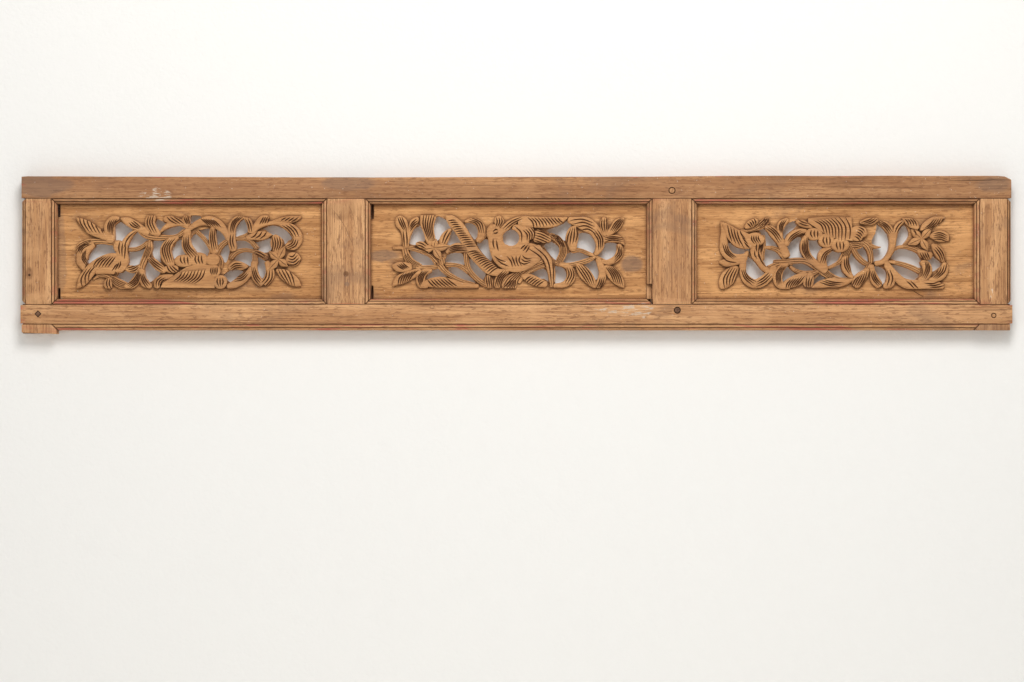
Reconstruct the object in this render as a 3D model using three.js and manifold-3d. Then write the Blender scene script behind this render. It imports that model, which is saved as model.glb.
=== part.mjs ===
// A long pierced and carved wall panel: three carved boards held in a moulded and pegged wooden frame.
// The front faces -Y, +X is to the right and +Z is up. The origin is on the back of the top rail.

import * as THREE from "three";
import { mergeVertices } from "three/addons/utils/BufferGeometryUtils.js";
import Module from "manifold-3d";

const wasm = await Module();
wasm.setup();

// Driving sizes in millimetres.
const FRAME_DEPTH = 32;
const TOP_RAIL_HEIGHT = 53;
const BOTTOM_RAIL_HEIGHT = 59;
const OPENING_HEIGHT = 179;
const LEFT_OPENING_WIDTH = 498;
const CENTRE_OPENING_WIDTH = 520;
const RIGHT_OPENING_WIDTH = 522;
const LEFT_END_STILE_WIDTH = 66;
const LEFT_MID_STILE_WIDTH = 92;
const RIGHT_MID_STILE_WIDTH = 94;
const RIGHT_END_STILE_WIDTH = 69;
const RAIL_OVERHANG = 2;
const INNER_MOULDING_WIDTH = 10;
const OUTER_MOULDING_WIDTH = 7;
const LOWER_MOULDING_WIDTH = 12;
const MOULDING_DROP = 9;
const QUIRK_WIDTH = 1.2;
const QUIRK_DEPTH = 3;
const STUB_DROP = 7;
const FIT_GAP = 0.35;
const BOARD_BACK = 2;
const BOARD_THICKNESS = 15;
const TONGUE_BACK = 6;
const TONGUE_THICKNESS = 7;
const TONGUE_LENGTH = 7;
const TENON_LENGTH = 28;
const TENON_BACK = 9;
const TENON_THICKNESS = 10;
const TENON_SHOULDER = 14;
const STEM_RELIEF = 6;
const LEAF_RELIEF = 8;
const BIRD_RELIEF = 10;
const STEM_SLANT = 1;
const LEAF_SLANT = 3;
const EDGE_DROP = 3.5;
const PEG_RADIUS = 5.5;
const SMALL_PEG_RADIUS = 4;
const SQUARE_PEG_SIDE = 8;
const PEG_LENGTH = 24;
const PEG_SUNK = 1;
const BROKEN_MOULDING_LENGTH = 38;

// The carving is set out on a squared drawing that covers the whole front.
// A point is [squares to the right, squares down], a third number is the width of a stroke there,
// and a dome is [right, down, half width, half height, tilt in degrees].
// Each drawing gives its opening's left, right, top and bottom on the squares, and its squares are
// stretched over the real opening, so the carving follows the opening's size.

const LEFT_STEMS = [
  [[114, 243, 6], [100, 241.5, 5], [88, 242.5, 7], [79, 247, 8], [75.5, 252, 4]],
  [[92.5, 279, 2], [98, 275.5, 4], [105, 275.5, 5], [112, 279.5, 7], [119, 284, 9], [127, 286, 6]],
  [[140, 271, 5], [141.5, 264, 6], [145, 256, 7], [148, 248, 7], [148.5, 241, 5]],
  [[127, 249.5, 4], [135, 249, 4], [141, 246.5, 4], [147, 242, 4]],
  [[137, 230.5, 3], [145, 235.5, 6], [155, 237.5, 6], [166, 237.5, 5], [176, 236, 4], [184, 231.5, 6]],
  [[195.5, 231.5, 4], [202, 237.5, 4], [207, 244, 4], [211, 250, 5]],
  [[227, 240.5, 5], [221, 245, 5], [217, 251, 5], [214, 257, 7]],
  [[213, 250, 9], [213, 258, 12], [215, 266, 9]],
  [[235, 238.5, 4], [243, 238.5, 4], [250, 241.5, 4.5], [256, 248.5, 4.5]],
  [[230, 258, 5], [235, 252.5, 5], [243, 250, 4], [251, 251, 4], [259, 254, 6], [266, 258, 7]],
  [[254, 254, 5], [254, 262, 6], [252, 268, 6]],
  [[217, 256, 6], [218.5, 262, 8], [219, 268, 5]],
];
const LEFT_LEAVES = [
  [[74.5, 217.5, 1], [81, 222, 7], [89, 228, 11], [97, 233, 9], [106, 238, 6]],
  [[118, 218, 3], [112, 219.5, 7], [108.5, 225, 10], [108.5, 232, 10], [109.5, 241, 9]],
  [[92, 244.5, 6], [85, 250, 9], [80.5, 258, 12], [81.5, 265, 8], [83, 270, 3]],
  [[108, 279, 5], [107, 284, 9], [108.5, 288, 6]],
  [[124, 286.5, 4], [131, 284.5, 8], [136.5, 278, 8], [139.5, 270, 5]],
  [[141, 270, 5], [141.5, 277, 6], [144, 283, 8], [150, 286.5, 5]],
  [[139, 266, 4], [134, 269, 7], [128.5, 269, 7], [123.5, 269, 2]],
  [[147, 257.5, 3], [152, 261.5, 7], [158, 267, 8], [164, 271, 6]],
  [[120, 218.5, 2], [126, 221, 8], [133, 225, 9], [140, 229, 8], [147, 233, 6]],
  [[151, 216, 9], [149, 222, 10], [151, 229, 10], [158, 234.5, 6]],
  [[159.5, 232, 2], [164, 227.5, 4], [171, 223.5, 7], [179, 222.5, 7], [187, 227, 5]],
  [[164, 219, 6], [170, 220, 8], [177, 222, 8]],
  [[184, 216.5, 4], [185, 220, 8], [188, 225.5, 5]],
  [[183.5, 233, 5], [190, 227.5, 5], [199, 222.5, 7], [208, 221, 10], [217, 224.5, 10], [224, 231.5, 7],
   [228, 240, 5]],
  [[188, 230.5, 5], [185.5, 238, 8], [186, 246, 10], [191, 254, 10], [196, 259, 6]],
  [[177, 237, 4], [169.5, 241.5, 8], [165, 249, 11], [166, 257, 11], [171, 265, 8]],
  [[212, 228, 5], [211.5, 236, 7], [212.5, 244, 8], [213.5, 252, 9]],
  [[176, 269, 8], [169, 269, 8], [163, 269, 4]],
  [[172, 276, 4], [163, 278.5, 8], [157, 282, 7], [156, 287, 6]],
  [[243, 217.5, 2], [236.5, 219.5, 7], [232, 225, 8], [230.5, 232, 8], [231, 241, 8], [232.5, 250, 7]],
  [[243, 218, 2], [247.5, 221, 6], [249.5, 226, 6], [250, 232, 6]],
  [[266, 217, 8], [261, 221, 9], [256, 226, 7], [252, 231, 6]],
  [[251, 232, 6], [258, 226.5, 5], [267, 223.5, 4], [277, 223, 4.5], [286, 226, 8], [294, 231.5, 10],
   [297, 239, 10], [293, 245.5, 9], [286, 246, 6]],
  [[272, 221.5, 2], [281, 220, 5], [290, 219.5, 7], [296, 218.5, 5], [300.5, 217, 2]],
  [[246, 238, 4], [254, 236, 8], [261, 235.5, 9], [267, 235, 6], [271.5, 235, 1]],
  [[274, 236, 6], [275.5, 241, 12], [276, 247, 11], [276, 253, 8]],
  [[253.5, 262, 6], [253, 270, 7], [255.5, 278, 8], [261, 283.5, 8]],
  [[266, 262, 5], [269, 269, 8], [269, 276, 9], [264, 283, 8]],
  [[286, 261, 6], [291, 259.5, 14], [297, 259, 11], [300, 259, 3]],
  [[276, 270, 3], [283, 274, 10], [290, 279, 11], [296, 283, 8], [300.5, 286, 1]],
  [[229, 268, 6], [235, 265, 8], [241, 266, 8], [247, 266.5, 3]],
  [[251, 268, 5], [247.5, 274, 7], [241, 279.5, 9], [234, 284, 8], [227, 286.5, 5]],
];
const LEFT_BIRDS = [
  [[136, 230, 2], [131, 233.5, 4], [126.5, 239, 6], [123, 246, 8], [121, 254, 12], [120, 262, 15],
   [115, 268, 14]],
  [[124, 262, 12], [112, 260, 14], [102, 262, 12], [93, 267, 11], [86, 275, 11], [81, 282, 9], [76, 288, 2]],
  [[95, 272, 5], [104, 270, 8], [113, 270.5, 8]],
];
const LEFT_DOMES = [
  [117.5, 246.5, 4, 5, 0], [183.5, 261, 8, 5, 0], [198, 260, 7.5, 6, 0], [212, 260, 5.5, 5, 0],
  [213.5, 271, 5, 5, 0], [219.5, 282, 5.5, 5.5, 0], [281, 252.5, 4, 5, 0], [273, 255.5, 6, 3.6, 45],
  [281, 261.5, 6.5, 3.8, 45], [272.5, 265.5, 4.5, 4, 0],
];
const LEFT_FANS = [
  [[160, 287.5], [162, 283], [170, 278], [178, 272], [186, 267], [194, 264.7], [205.5, 264.5], [214, 266],
   [214, 288], [204, 288]],
];
const LEFT_WINDOWS = [
  [[119, 223], [123, 226], [130, 230], [126, 233], [123, 238], [120.5, 241.5], [117, 241], [114, 236],
   [113.5, 231], [115, 226]],
  [[136, 232.5], [140, 236], [146.5, 239.5], [141, 244], [134, 247], [128, 248], [128.5, 244], [131, 238]],
  [[95, 246], [104, 245], [113, 248], [114, 254], [105, 254.5], [97, 257], [91, 261], [88, 262.5],
   [86.5, 256], [89, 250]],
  [[129, 252], [137, 252], [144, 248.5], [143, 254], [139, 260], [135, 264.5], [128.5, 264], [128, 258]],
  [[146.5, 260], [152, 266.5], [158, 272], [153, 277], [148, 281], [145, 276], [144, 268]],
  [[121, 271.5], [126, 273], [133, 274], [131, 279], [126, 283], [122, 280], [117, 276]],
  [[156, 220], [163.5, 224], [160, 227], [157, 230], [155, 226]],
  [[161, 232.5], [166, 229], [172, 227], [179, 227], [186, 229.5], [183, 233], [176, 235], [169, 235]],
  [[191, 216.5], [198, 217], [200, 222], [196, 224], [192, 225], [190.5, 221]],
  [[153, 240.5], [166, 240.5], [161, 244], [158.5, 250], [159, 258], [160, 261], [154, 257], [152, 251]],
  [[175, 243], [180, 240.5], [181, 247], [183, 255], [179, 257.5], [176, 262], [173, 259], [171, 253]],
  [[193, 235.5], [197, 236], [202, 241], [207, 248], [209, 254], [207, 260], [203, 257], [197, 253],
   [192, 247], [190, 241]],
  [[199, 231], [208, 229.5], [208, 234], [206.5, 239], [203, 236]],
  [[216, 231], [221, 232.5], [225, 239], [221, 242], [217.5, 247], [216, 240]],
  [[226, 243], [227.5, 250], [226, 258], [224, 261], [220, 257], [220, 251]],
  [[239, 221], [243, 221], [246, 225], [246.5, 229], [244, 232], [239, 234], [235, 235.5], [235.5, 230],
   [237, 224.5]],
  [[236, 240.5], [242, 240.5], [247, 243], [251, 248.5], [243, 249], [236, 250], [235, 245]],
  [[256, 243], [261, 242], [267, 239.5], [269, 242], [269, 249], [265, 251], [260, 250.5], [257.5, 247]],
  [[263, 229], [268, 227], [275, 227], [282, 230], [287, 234], [289.5, 238], [286, 240], [283, 243],
   [281, 238], [277, 235], [271, 234.5], [267, 231]],
  [[234, 259], [238, 254.5], [245, 252], [251, 254], [251, 259], [249, 264.5], [246, 264], [242, 261],
   [238, 260.5]],
  [[257.5, 257], [256, 262], [256.5, 270], [259, 275], [261.5, 277], [264, 271], [264.5, 264], [262, 259]],
  [[224, 275], [229, 271.5], [235, 271], [241, 272], [237, 275], [233, 278], [232, 282], [228, 279.5]],
];
const CENTRE_STEMS = [
  [[393, 248.3, 3], [403, 248.2, 3.5], [412, 248.7, 4.5], [422, 251.7, 4.5], [430, 256, 4], [438, 264, 7],
   [445, 272, 5], [453, 277.5, 5], [463, 281.8, 4], [474, 285.5, 5]],
  [[441, 259, 6], [442, 264, 6]],
  [[404.5, 249, 6], [406.5, 256, 7], [411, 262.5, 8], [420, 267, 6]],
  [[404, 266, 9], [414, 268, 7], [425, 268.3, 5.5], [437, 267, 4]],
  [[446, 265, 5], [455, 265.2, 4], [462, 267.5, 5], [468, 272, 5]],
  [[466, 253, 5], [466.5, 262, 5], [469, 270, 5], [475.5, 278, 5], [484, 284.5, 5], [492, 287, 3]],
  [[478, 242, 4], [484, 237, 4], [488.5, 230, 4.5], [493, 225.5, 5]],
  [[543, 260.5, 6], [533, 265, 6], [524, 269.5, 6], [517, 275, 8], [511, 281, 13], [508, 287.5, 17]],
  [[546, 266, 4], [538, 268, 4], [530, 272, 4], [523, 277, 4], [519, 283, 3]],
  [[550, 236, 6], [557, 239, 7], [562, 245, 7], [563, 253, 8], [559, 262, 7]],
  [[572, 251, 5], [580, 250.5, 4], [588, 253.5, 4], [596, 256.8, 3], [604, 262, 5]],
  [[556, 263, 5], [566, 265.5, 5], [577, 264, 5], [587, 261, 5], [595, 257.5, 3]],
];
const CENTRE_LEAVES = [
  [[398.5, 218, 8], [401, 223, 12], [404, 229, 9], [405.5, 237, 7], [405.5, 247, 6]],
  [[417.5, 218.5, 4], [414, 222.5, 8], [411, 228, 6], [408, 236, 5], [406.5, 244, 4]],
  [[428, 216, 16], [427, 224, 14], [428.5, 232, 10.5], [430, 239, 10], [431, 246, 6]],
  [[452, 228, 1], [448, 232.5, 6], [444.5, 238, 9], [442, 245, 8]],
  [[426, 247, 5], [420.5, 245, 7], [416, 244, 3]],
  [[392, 266.5, 3], [397, 267, 9], [403, 267.5, 10], [410, 267.5, 8]],
  [[392.5, 286, 2], [398, 281, 9], [405, 277.5, 10], [412, 274.5, 9], [420, 271.5, 6]],
  [[431, 270.5, 4], [424.5, 272.5, 7], [420.5, 278, 9], [421.5, 284, 9], [427, 286.5, 5]],
  [[423, 284.5, 5], [431, 283, 9], [440, 282.5, 11], [450, 283.5, 9], [462, 285.5, 6], [478, 286.5, 4]],
  [[446.5, 252.5, 4], [452, 249, 8], [459, 248, 10], [467, 249.5, 6]],
  [[488, 276, 4], [488.5, 281, 8], [489, 286.5, 7]],
  [[465, 222, 3], [471, 220.7, 5], [478, 223.5, 7], [481.5, 230, 8], [480.5, 237, 7], [477, 241.5, 4]],
  [[498, 217.5, 7], [499, 222, 10], [498, 227, 6]],
  [[527, 246, 7], [537, 250, 9], [545, 257.5, 9], [550, 267, 8], [552, 277, 7], [551, 286.5, 4]],
  [[507, 271, 6], [502, 275.5, 9], [498.5, 281, 8], [497, 287, 7]],
  [[522, 276, 4], [529, 278.5, 9], [537, 282, 9], [546, 285, 6]],
  [[575.5, 226.5, 3], [573, 231, 10], [572, 238, 13], [572.5, 244, 10], [573, 250, 7]],
  [[569, 220, 6], [577, 222, 10], [586, 224.5, 14], [594, 230, 12], [599, 238.5, 10], [600, 247, 8],
   [595.5, 255, 4]],
  [[604, 217.5, 3], [604, 222.5, 8], [604, 229, 7], [605, 235, 6]],
  [[624, 218.5, 3], [618.5, 223, 9], [614, 229, 8], [607, 235, 5]],
  [[603, 240, 6], [611, 239, 7], [619, 239.5, 7], [625, 245, 2]],
  [[619, 245, 5], [620, 251, 7], [617, 258, 7], [609, 262.5, 6], [602, 262, 4]],
  [[598, 259, 5], [601, 266, 7], [602.5, 273, 7], [601.5, 280, 8], [597.5, 287, 6]],
  [[605, 267, 5], [611, 272, 11], [617, 279, 11], [621.5, 284.5, 7], [624, 288, 2]],
  [[577, 265, 4], [582.5, 271, 11], [588.5, 278, 11], [592.5, 283.5, 8], [595, 288, 3]],
  [[560, 264.5, 4], [568, 267, 6], [571, 273, 8], [570, 280, 8.5], [563.5, 285, 6], [554, 286, 4]],
];
const CENTRE_BIRDS = [
  [[447, 216, 6], [453, 222, 11], [459.5, 229, 12], [465, 238, 12], [470, 247, 12], [475.5, 255, 12],
   [482, 262, 12], [489, 268.5, 12], [497, 272.5, 8], [505, 272, 5]],
  [[493, 231, 10], [492.5, 240, 9], [495, 250, 11], [499.5, 258, 13], [507, 264, 13], [517, 266, 13],
   [527, 263, 12], [536, 256, 12], [540, 248, 10]],
  [[503, 231, 8], [508, 225.5, 7], [514.5, 221, 6], [522, 218.2, 4], [529, 217.3, 2]],
  [[520, 222, 10], [530, 222.3, 11], [540, 222.5, 11], [550, 222.5, 10.5], [559, 221, 8], [567, 218, 2]],
  [[514, 228, 8], [521, 232, 9], [524, 238.5, 11], [521, 245, 12], [513, 250.5, 13], [503, 250, 13],
   [499, 243, 9], [499, 235, 8], [503, 230, 6]],
  [[516, 228, 8], [524, 232, 12], [531, 235, 13]],
  [[536, 236, 13], [543, 238, 11], [550, 240, 6]],
];
const CENTRE_DOMES = [
  [427.5, 250, 5.5, 4, 0], [436, 245, 3, 5, 0], [437.5, 254, 4.5, 5, 0], [444.5, 248, 5, 4.5, 0],
  [494, 233.5, 6, 7, 0],
];
const CENTRE_FANS = [];
const CENTRE_WINDOWS = [
  [[419, 227], [423, 233], [423, 240], [420, 241.5], [416, 243.5], [411, 243], [409.5, 240], [411, 234],
   [414, 230.5]],
  [[438, 217.5], [443, 220], [450, 226], [446, 230], [441, 235], [437, 240], [435, 236], [434.5, 228],
   [435.5, 221]],
  [[452, 231], [456, 233], [459.5, 240], [460, 243], [455, 243], [448.5, 245], [448.5, 240], [450, 235]],
  [[411, 251.5], [418, 253.5], [425, 256], [430, 259], [434, 264], [428, 265.5], [421, 265], [415, 261],
   [412, 256]],
  [[433, 271], [440, 269.5], [443, 273], [445, 276.5], [438, 276.5], [432, 277.5], [427, 279], [429, 275]],
  [[448, 256], [455, 254], [461, 255], [462, 260], [463, 264], [456, 263], [449, 262.5], [446, 261]],
  [[449, 268], [454, 268], [460, 270.5], [466, 275], [474, 282], [469, 282], [462, 280.5], [456, 278],
   [451, 273]],
  [[470, 260], [474, 261.5], [482, 265.5], [482, 269], [484, 273], [483, 277], [480.5, 279.5],
   [477, 277.5], [473, 273], [470.5, 267]],
  [[465, 225], [470, 223.5], [474, 224.5], [477, 229], [477, 233], [475.5, 237], [473.5, 237.5], [470, 231]],
  [[478, 244], [482, 241], [486, 240.5], [488.5, 243], [490, 248], [491, 259], [488, 258], [484, 253],
   [480, 248]],
  [[511, 230.5], [515.5, 232], [518.5, 236], [518, 241], [514, 245], [509, 245.5], [504.5, 242.5],
   [503, 238], [505, 233.5]],
  [[529.5, 275], [533, 271.5], [538, 270], [543, 270], [546, 274], [547, 281], [543, 278], [537, 278],
   [532, 276.5]],
  [[548, 230], [555, 228], [563, 225], [567, 221], [570, 225], [569, 229], [564.5, 239.5], [560, 236],
   [551, 233]],
  [[545, 247], [549, 242.5], [553, 244], [557, 247.5], [559, 252], [558, 257], [556, 259], [552, 255]],
  [[562, 262.5], [566, 256.5], [572, 253], [577, 252.5], [583, 254.5], [588, 257], [584, 259], [578, 262],
   [570, 263]],
  [[576, 246.5], [579, 237], [581, 234.5], [586, 234.5], [591, 237], [594, 243], [594, 248], [592, 252],
   [588, 250], [582, 247.5]],
  [[594, 258], [599, 255], [603, 249], [606, 245], [611, 244], [616, 245], [617, 250], [614, 255.5],
   [608, 259], [601, 259]],
  [[585.5, 266], [590, 262], [593.5, 261], [596, 264], [598.5, 270], [598, 275], [595.5, 278.5], [590, 270]],
  [[556, 268], [560, 268], [563.5, 270.5], [565, 275], [564, 279], [560, 281.5], [556, 282], [555.5, 275]],
];
const RIGHT_STEMS = [
  [[775, 262, 4], [785, 262, 5], [796, 261, 6], [806, 261.5, 6], [815, 266, 7], [824, 272, 8],
   [832, 277.5, 7], [842, 280.5, 5], [852, 280, 5], [861, 276.5, 5], [867, 271, 5], [871, 264, 5]],
  [[770, 269, 7], [777, 265.5, 6], [785, 264, 5], [793, 263.5, 4]],
  [[741, 231, 3], [749, 231, 4], [757, 228.5, 5], [763, 224.5, 8], [768, 220, 7]],
  [[763, 236, 5], [764.5, 246, 4], [762.5, 254, 5], [762.5, 260, 5]],
  [[764, 247.5, 3], [772, 248, 4], [779, 250.5, 5], [786, 257, 8]],
  [[783.5, 244, 6], [785, 250, 7], [787, 257, 8]],
  [[829, 268.5, 3], [835, 265.5, 3.5], [841, 262, 5], [845, 256, 7], [848, 250, 7], [851, 244, 8]],
  [[848, 243, 6], [855, 245, 10], [862, 244, 8]],
  [[854, 249, 5], [858, 256, 5], [864, 262, 5], [869, 265, 4]],
  [[863, 242.5, 5], [868.5, 247, 6], [871.5, 255, 5], [872, 263, 5]],
  [[871, 246, 5], [877, 247.5, 3], [881.5, 247.3, 1]],
  [[892, 251, 5], [899, 247.5, 3.5], [907, 247, 4], [915, 249, 5], [922, 252.5, 5]],
  [[889, 262, 3], [897, 263, 4], [905, 265, 4.5], [913, 268, 5], [920, 271.5, 5]],
  [[791, 267, 3], [796, 271, 4], [803, 273.5, 5], [812, 274, 6], [819, 271.5, 3]],
];
const RIGHT_LEAVES = [
  [[721.5, 222, 2], [724, 232, 6], [724, 242, 8], [725, 250, 9.5], [730, 256.5, 9], [738, 258, 7],
   [745, 256.5, 6], [748, 252, 3]],
  [[720, 262.5, 3], [726, 263, 8], [733, 262.5, 8], [740, 261.5, 6], [746, 258, 6]],
  [[746, 227.5, 4], [751, 224, 8], [757, 220.5, 6]],
  [[766, 227, 4], [771, 229.5, 8], [775.5, 234.5, 9], [780, 241.5, 7], [784, 249, 8], [787, 256, 8]],
  [[788, 219.5, 5], [782.5, 224, 8], [780.5, 230, 7], [781, 237, 5], [783.5, 244, 6]],
  [[786, 245, 6], [789, 239.5, 7], [794.5, 234.5, 8], [801, 231.5, 6], [807, 231, 4]],
  [[756, 245, 6], [755.5, 250, 10], [757, 256, 10], [760, 262, 7], [764, 268, 6], [769, 272, 6]],
  [[807, 234, 2], [805.5, 240, 7], [805, 248, 9], [808, 256, 8], [814, 262, 7], [820, 267, 7], [826, 271, 8]],
  [[797, 221.5, 3], [802, 223, 7], [808, 225.5, 6], [813, 228, 3]],
  [[831, 249, 6], [825, 252.5, 9], [822.5, 258.5, 9], [823.5, 265, 8], [826, 270, 7]],
  [[847, 257, 5], [846, 263, 8], [847, 269, 9], [850, 275, 6], [853, 278, 4]],
  [[737.5, 268, 5], [733.5, 272, 11], [729, 277.5, 15], [724.5, 284, 12], [722, 288.5, 6]],
  [[744, 258, 6], [743, 266, 7], [743.5, 274, 7], [748, 281, 9], [755, 284.5, 9], [763, 282, 10],
   [770, 275.5, 9], [775, 268, 7]],
  [[788, 264.5, 4], [782, 268.5, 7], [778.5, 275, 9], [778.5, 282, 9], [783, 287, 7], [790, 287.5, 5]],
  [[783.5, 285.5, 4], [789, 284, 9], [795, 282, 11], [801, 278.5, 10], [806, 274, 6]],
  [[811, 274, 6], [809.5, 280, 10], [808.5, 286, 10]],
  [[812.5, 288, 2], [820, 285.5, 7], [829, 283.5, 9], [838, 283.5, 9], [847, 282.5, 6], [853, 280, 3]],
  [[869, 270, 4], [864.5, 275, 9], [859.5, 280.5, 11], [856, 286, 9]],
  [[861, 222.5, 3], [867, 221.5, 6], [873, 221, 7], [878, 219.5, 4]],
  [[881, 221.5, 3], [886, 225, 7], [891, 231, 7], [893, 239, 6], [893, 247, 6], [890, 255, 5],
   [884, 262, 5], [876, 264, 5]],
  [[904, 221, 3], [899.5, 225, 6], [896.5, 231, 6], [895, 238, 5], [894, 245, 5]],
  [[903.5, 218.5, 2], [908.5, 221, 7], [914, 224, 9], [918, 228, 6]],
  [[921.5, 230, 3], [926, 226, 7], [932, 222.5, 9], [939, 219, 8], [945, 216.5, 3]],
  [[931, 236, 4], [937, 236, 10], [943, 236.5, 11], [948, 238, 8], [951, 239.5, 3]],
  [[933, 245, 4], [937.5, 249.5, 9], [941.5, 255.5, 9], [944.5, 262, 4]],
  [[919, 251, 4], [923.5, 254, 8], [928.5, 256, 9], [932, 254, 5]],
  [[923, 262, 5], [927, 266, 9], [928.5, 272, 9], [926, 278, 7], [920, 281.5, 5]],
  [[945, 263.5, 4], [945.5, 268, 8], [943, 273.5, 10], [938, 278.5, 8], [930, 281, 4]],
  [[886, 262, 5], [891, 269, 6], [896, 276, 8], [903, 282.5, 9], [912, 285.5, 10], [922, 285.5, 10],
   [934, 285.5, 9], [944, 287, 5]],
  [[872, 266, 5], [873.5, 273, 6], [875.5, 280, 9], [880, 286, 8]],
  [[886, 265.5, 4], [890, 270.5, 6], [892, 277, 8], [890.5, 284, 9], [885, 287.5, 5]],
];
const RIGHT_BIRDS = [
  [[722.5, 222.5, 2], [728, 228.5, 9], [734, 235, 14], [741, 239.5, 17], [749, 241.5, 15], [757, 240, 15],
   [763, 240, 8]],
  [[851, 234, 12], [858, 233.5, 15], [863, 233, 12], [866.5, 234, 6]],
];
const RIGHT_DOMES = [
  [814.5, 234, 7, 5, 0], [827, 240.5, 6.5, 6, 0], [840.5, 245, 7.5, 6, 0], [915.5, 232.5, 5, 5.5, 0],
  [926, 232, 5.5, 6, 0], [914.5, 242.5, 6.5, 4, -15], [926, 244.5, 5.5, 6, 0],
];
const RIGHT_FANS = [
  [[808.5, 218], [820, 217], [835, 216.5], [852, 217], [853, 241], [841, 239.5], [832, 237.5], [824, 233],
   [816, 227.5], [808.5, 222.5]],
];
const RIGHT_WINDOWS = [
  [[728.5, 243], [733, 244.5], [738, 248], [744, 249.5], [750, 249.5], [750, 255], [746, 253],
   [741, 254.5], [736, 256], [731, 253.5], [728.5, 249]],
  [[760.5, 231.5], [765, 229.5], [769, 233], [773.5, 238.5], [777, 243.5], [779, 248], [773, 246],
   [765, 246], [764.5, 240], [763, 235]],
  [[763.5, 251], [768, 250.5], [773, 251.5], [778, 255], [781, 259], [777, 261], [768, 267], [765.5, 264],
   [763.5, 258]],
  [[785, 229], [790, 224], [795, 222], [797, 225], [793, 229.5], [788, 233], [786, 239], [784, 241],
   [783.5, 235]],
  [[788, 257], [788, 247], [791, 243.5], [796, 240], [801, 238], [801, 245], [801, 252], [803, 258]],
  [[810.5, 239], [815, 239.5], [819, 242], [822, 246.5], [820, 250], [818.5, 256], [817.5, 261],
   [813, 257], [810.5, 251]],
  [[828, 267], [828.5, 259], [831, 254], [835, 252], [841, 252.5], [843, 255], [841, 259], [838, 262.5]],
  [[831, 271], [836, 268.5], [841, 265.5], [842, 269], [844, 273], [848, 277.5], [843, 278], [837, 276.5]],
  [[852, 257], [853.5, 255], [857, 260], [862, 264], [866, 266], [863, 271], [858, 274.5], [855, 275.5],
   [853, 271], [851, 264]],
  [[858, 251], [861, 249.5], [864.5, 246], [867, 250], [869, 255], [869, 261], [866, 261], [861, 257]],
  [[878, 225], [883, 229], [888, 236], [890, 244], [888.5, 252], [884, 258], [875, 261.5], [875, 249],
   [874, 241], [877, 235]],
  [[899, 233], [902, 228.5], [906, 226.5], [908, 230], [908.5, 236], [905, 241], [901.5, 246],
   [897.5, 248], [896.5, 243]],
  [[929, 262], [931.5, 258], [933, 255.5], [936, 259], [942.5, 264.5], [939, 267], [935.5, 270],
   [932.5, 270], [931, 266]],
  [[893, 259], [897, 252.5], [901, 250], [908, 250.5], [915, 253], [920, 258], [922.5, 266], [918, 267],
   [912, 265.5], [905, 262.5]],
  [[890, 266], [897, 266], [905, 268], [912, 271], [919, 275], [917, 278], [912, 281], [906, 280],
   [900, 276.5]],
  [[875.5, 268], [881, 268.5], [885.5, 271.5], [887, 276], [886, 281], [883, 285], [881, 283], [878, 277]],
  [[792, 266], [797, 264], [804, 264.5], [811, 266.5], [819, 270], [814, 272], [808, 272.5], [800, 270.5]],
  [[749, 258], [753, 260.5], [757, 264], [760, 268], [766, 272.5], [762, 276], [757, 280], [752, 278.5],
   [748, 274], [746.5, 266]],
  [[784, 272], [788, 268.5], [792, 271], [797, 274.5], [792, 277.5], [787, 280.5], [783, 284], [782.5, 278]],
  [[814.5, 284.5], [817, 280], [822, 275.5], [825, 277.5], [828.5, 280], [823, 281.5]],
];

const DRAWINGS = {
  left: {
    edges: [56.3, 321.2, 204.1, 299],
    stems: LEFT_STEMS, leaves: LEFT_LEAVES, birds: LEFT_BIRDS,
    domes: LEFT_DOMES, fans: LEFT_FANS, windows: LEFT_WINDOWS,
  },
  centre: {
    edges: [370.3, 646.9, 204.2, 299.4],
    stems: CENTRE_STEMS, leaves: CENTRE_LEAVES, birds: CENTRE_BIRDS,
    domes: CENTRE_DOMES, fans: CENTRE_FANS, windows: CENTRE_WINDOWS,
  },
  right: {
    edges: [696.9, 974.8, 203.6, 300],
    stems: RIGHT_STEMS, leaves: RIGHT_LEAVES, birds: RIGHT_BIRDS,
    domes: RIGHT_DOMES, fans: RIGHT_FANS, windows: RIGHT_WINDOWS,
  },
};

// How far a window in the board runs on under the leaves that trim it, in squares of the drawing.
const WINDOW_GROWTH = 2.4;
const TRIM_DEPTH = 1;
const DOME_SIDES = 8;
const PEG_SIDES = 12;
// A point of the drawing nearer than this to the straight way past it is left out, in squares.
const STROKE_TOLERANCE = 1.3;
const WINDOW_TOLERANCE = 1.5;

// Places worked out from the driving sizes.
const totalWidth = LEFT_END_STILE_WIDTH + LEFT_OPENING_WIDTH + LEFT_MID_STILE_WIDTH + CENTRE_OPENING_WIDTH
  + RIGHT_MID_STILE_WIDTH + RIGHT_OPENING_WIDTH + RIGHT_END_STILE_WIDTH;
const frameLeft = -totalWidth / 2;
const frameRight = totalWidth / 2;
const leftOpening = { x0: frameLeft + LEFT_END_STILE_WIDTH };
leftOpening.x1 = leftOpening.x0 + LEFT_OPENING_WIDTH;
const centreOpening = { x0: leftOpening.x1 + LEFT_MID_STILE_WIDTH };
centreOpening.x1 = centreOpening.x0 + CENTRE_OPENING_WIDTH;
const rightOpening = { x0: centreOpening.x1 + RIGHT_MID_STILE_WIDTH };
rightOpening.x1 = rightOpening.x0 + RIGHT_OPENING_WIDTH;
const openings = [leftOpening, centreOpening, rightOpening];
const railTop = TOP_RAIL_HEIGHT / 2;
const openingTop = -TOP_RAIL_HEIGHT / 2;
const openingBottom = openingTop - OPENING_HEIGHT;
const railBottom = openingBottom - BOTTOM_RAIL_HEIGHT;
const topQuirk = openingTop + INNER_MOULDING_WIDTH;
const bottomQuirk = openingBottom - INNER_MOULDING_WIDTH;
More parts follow.
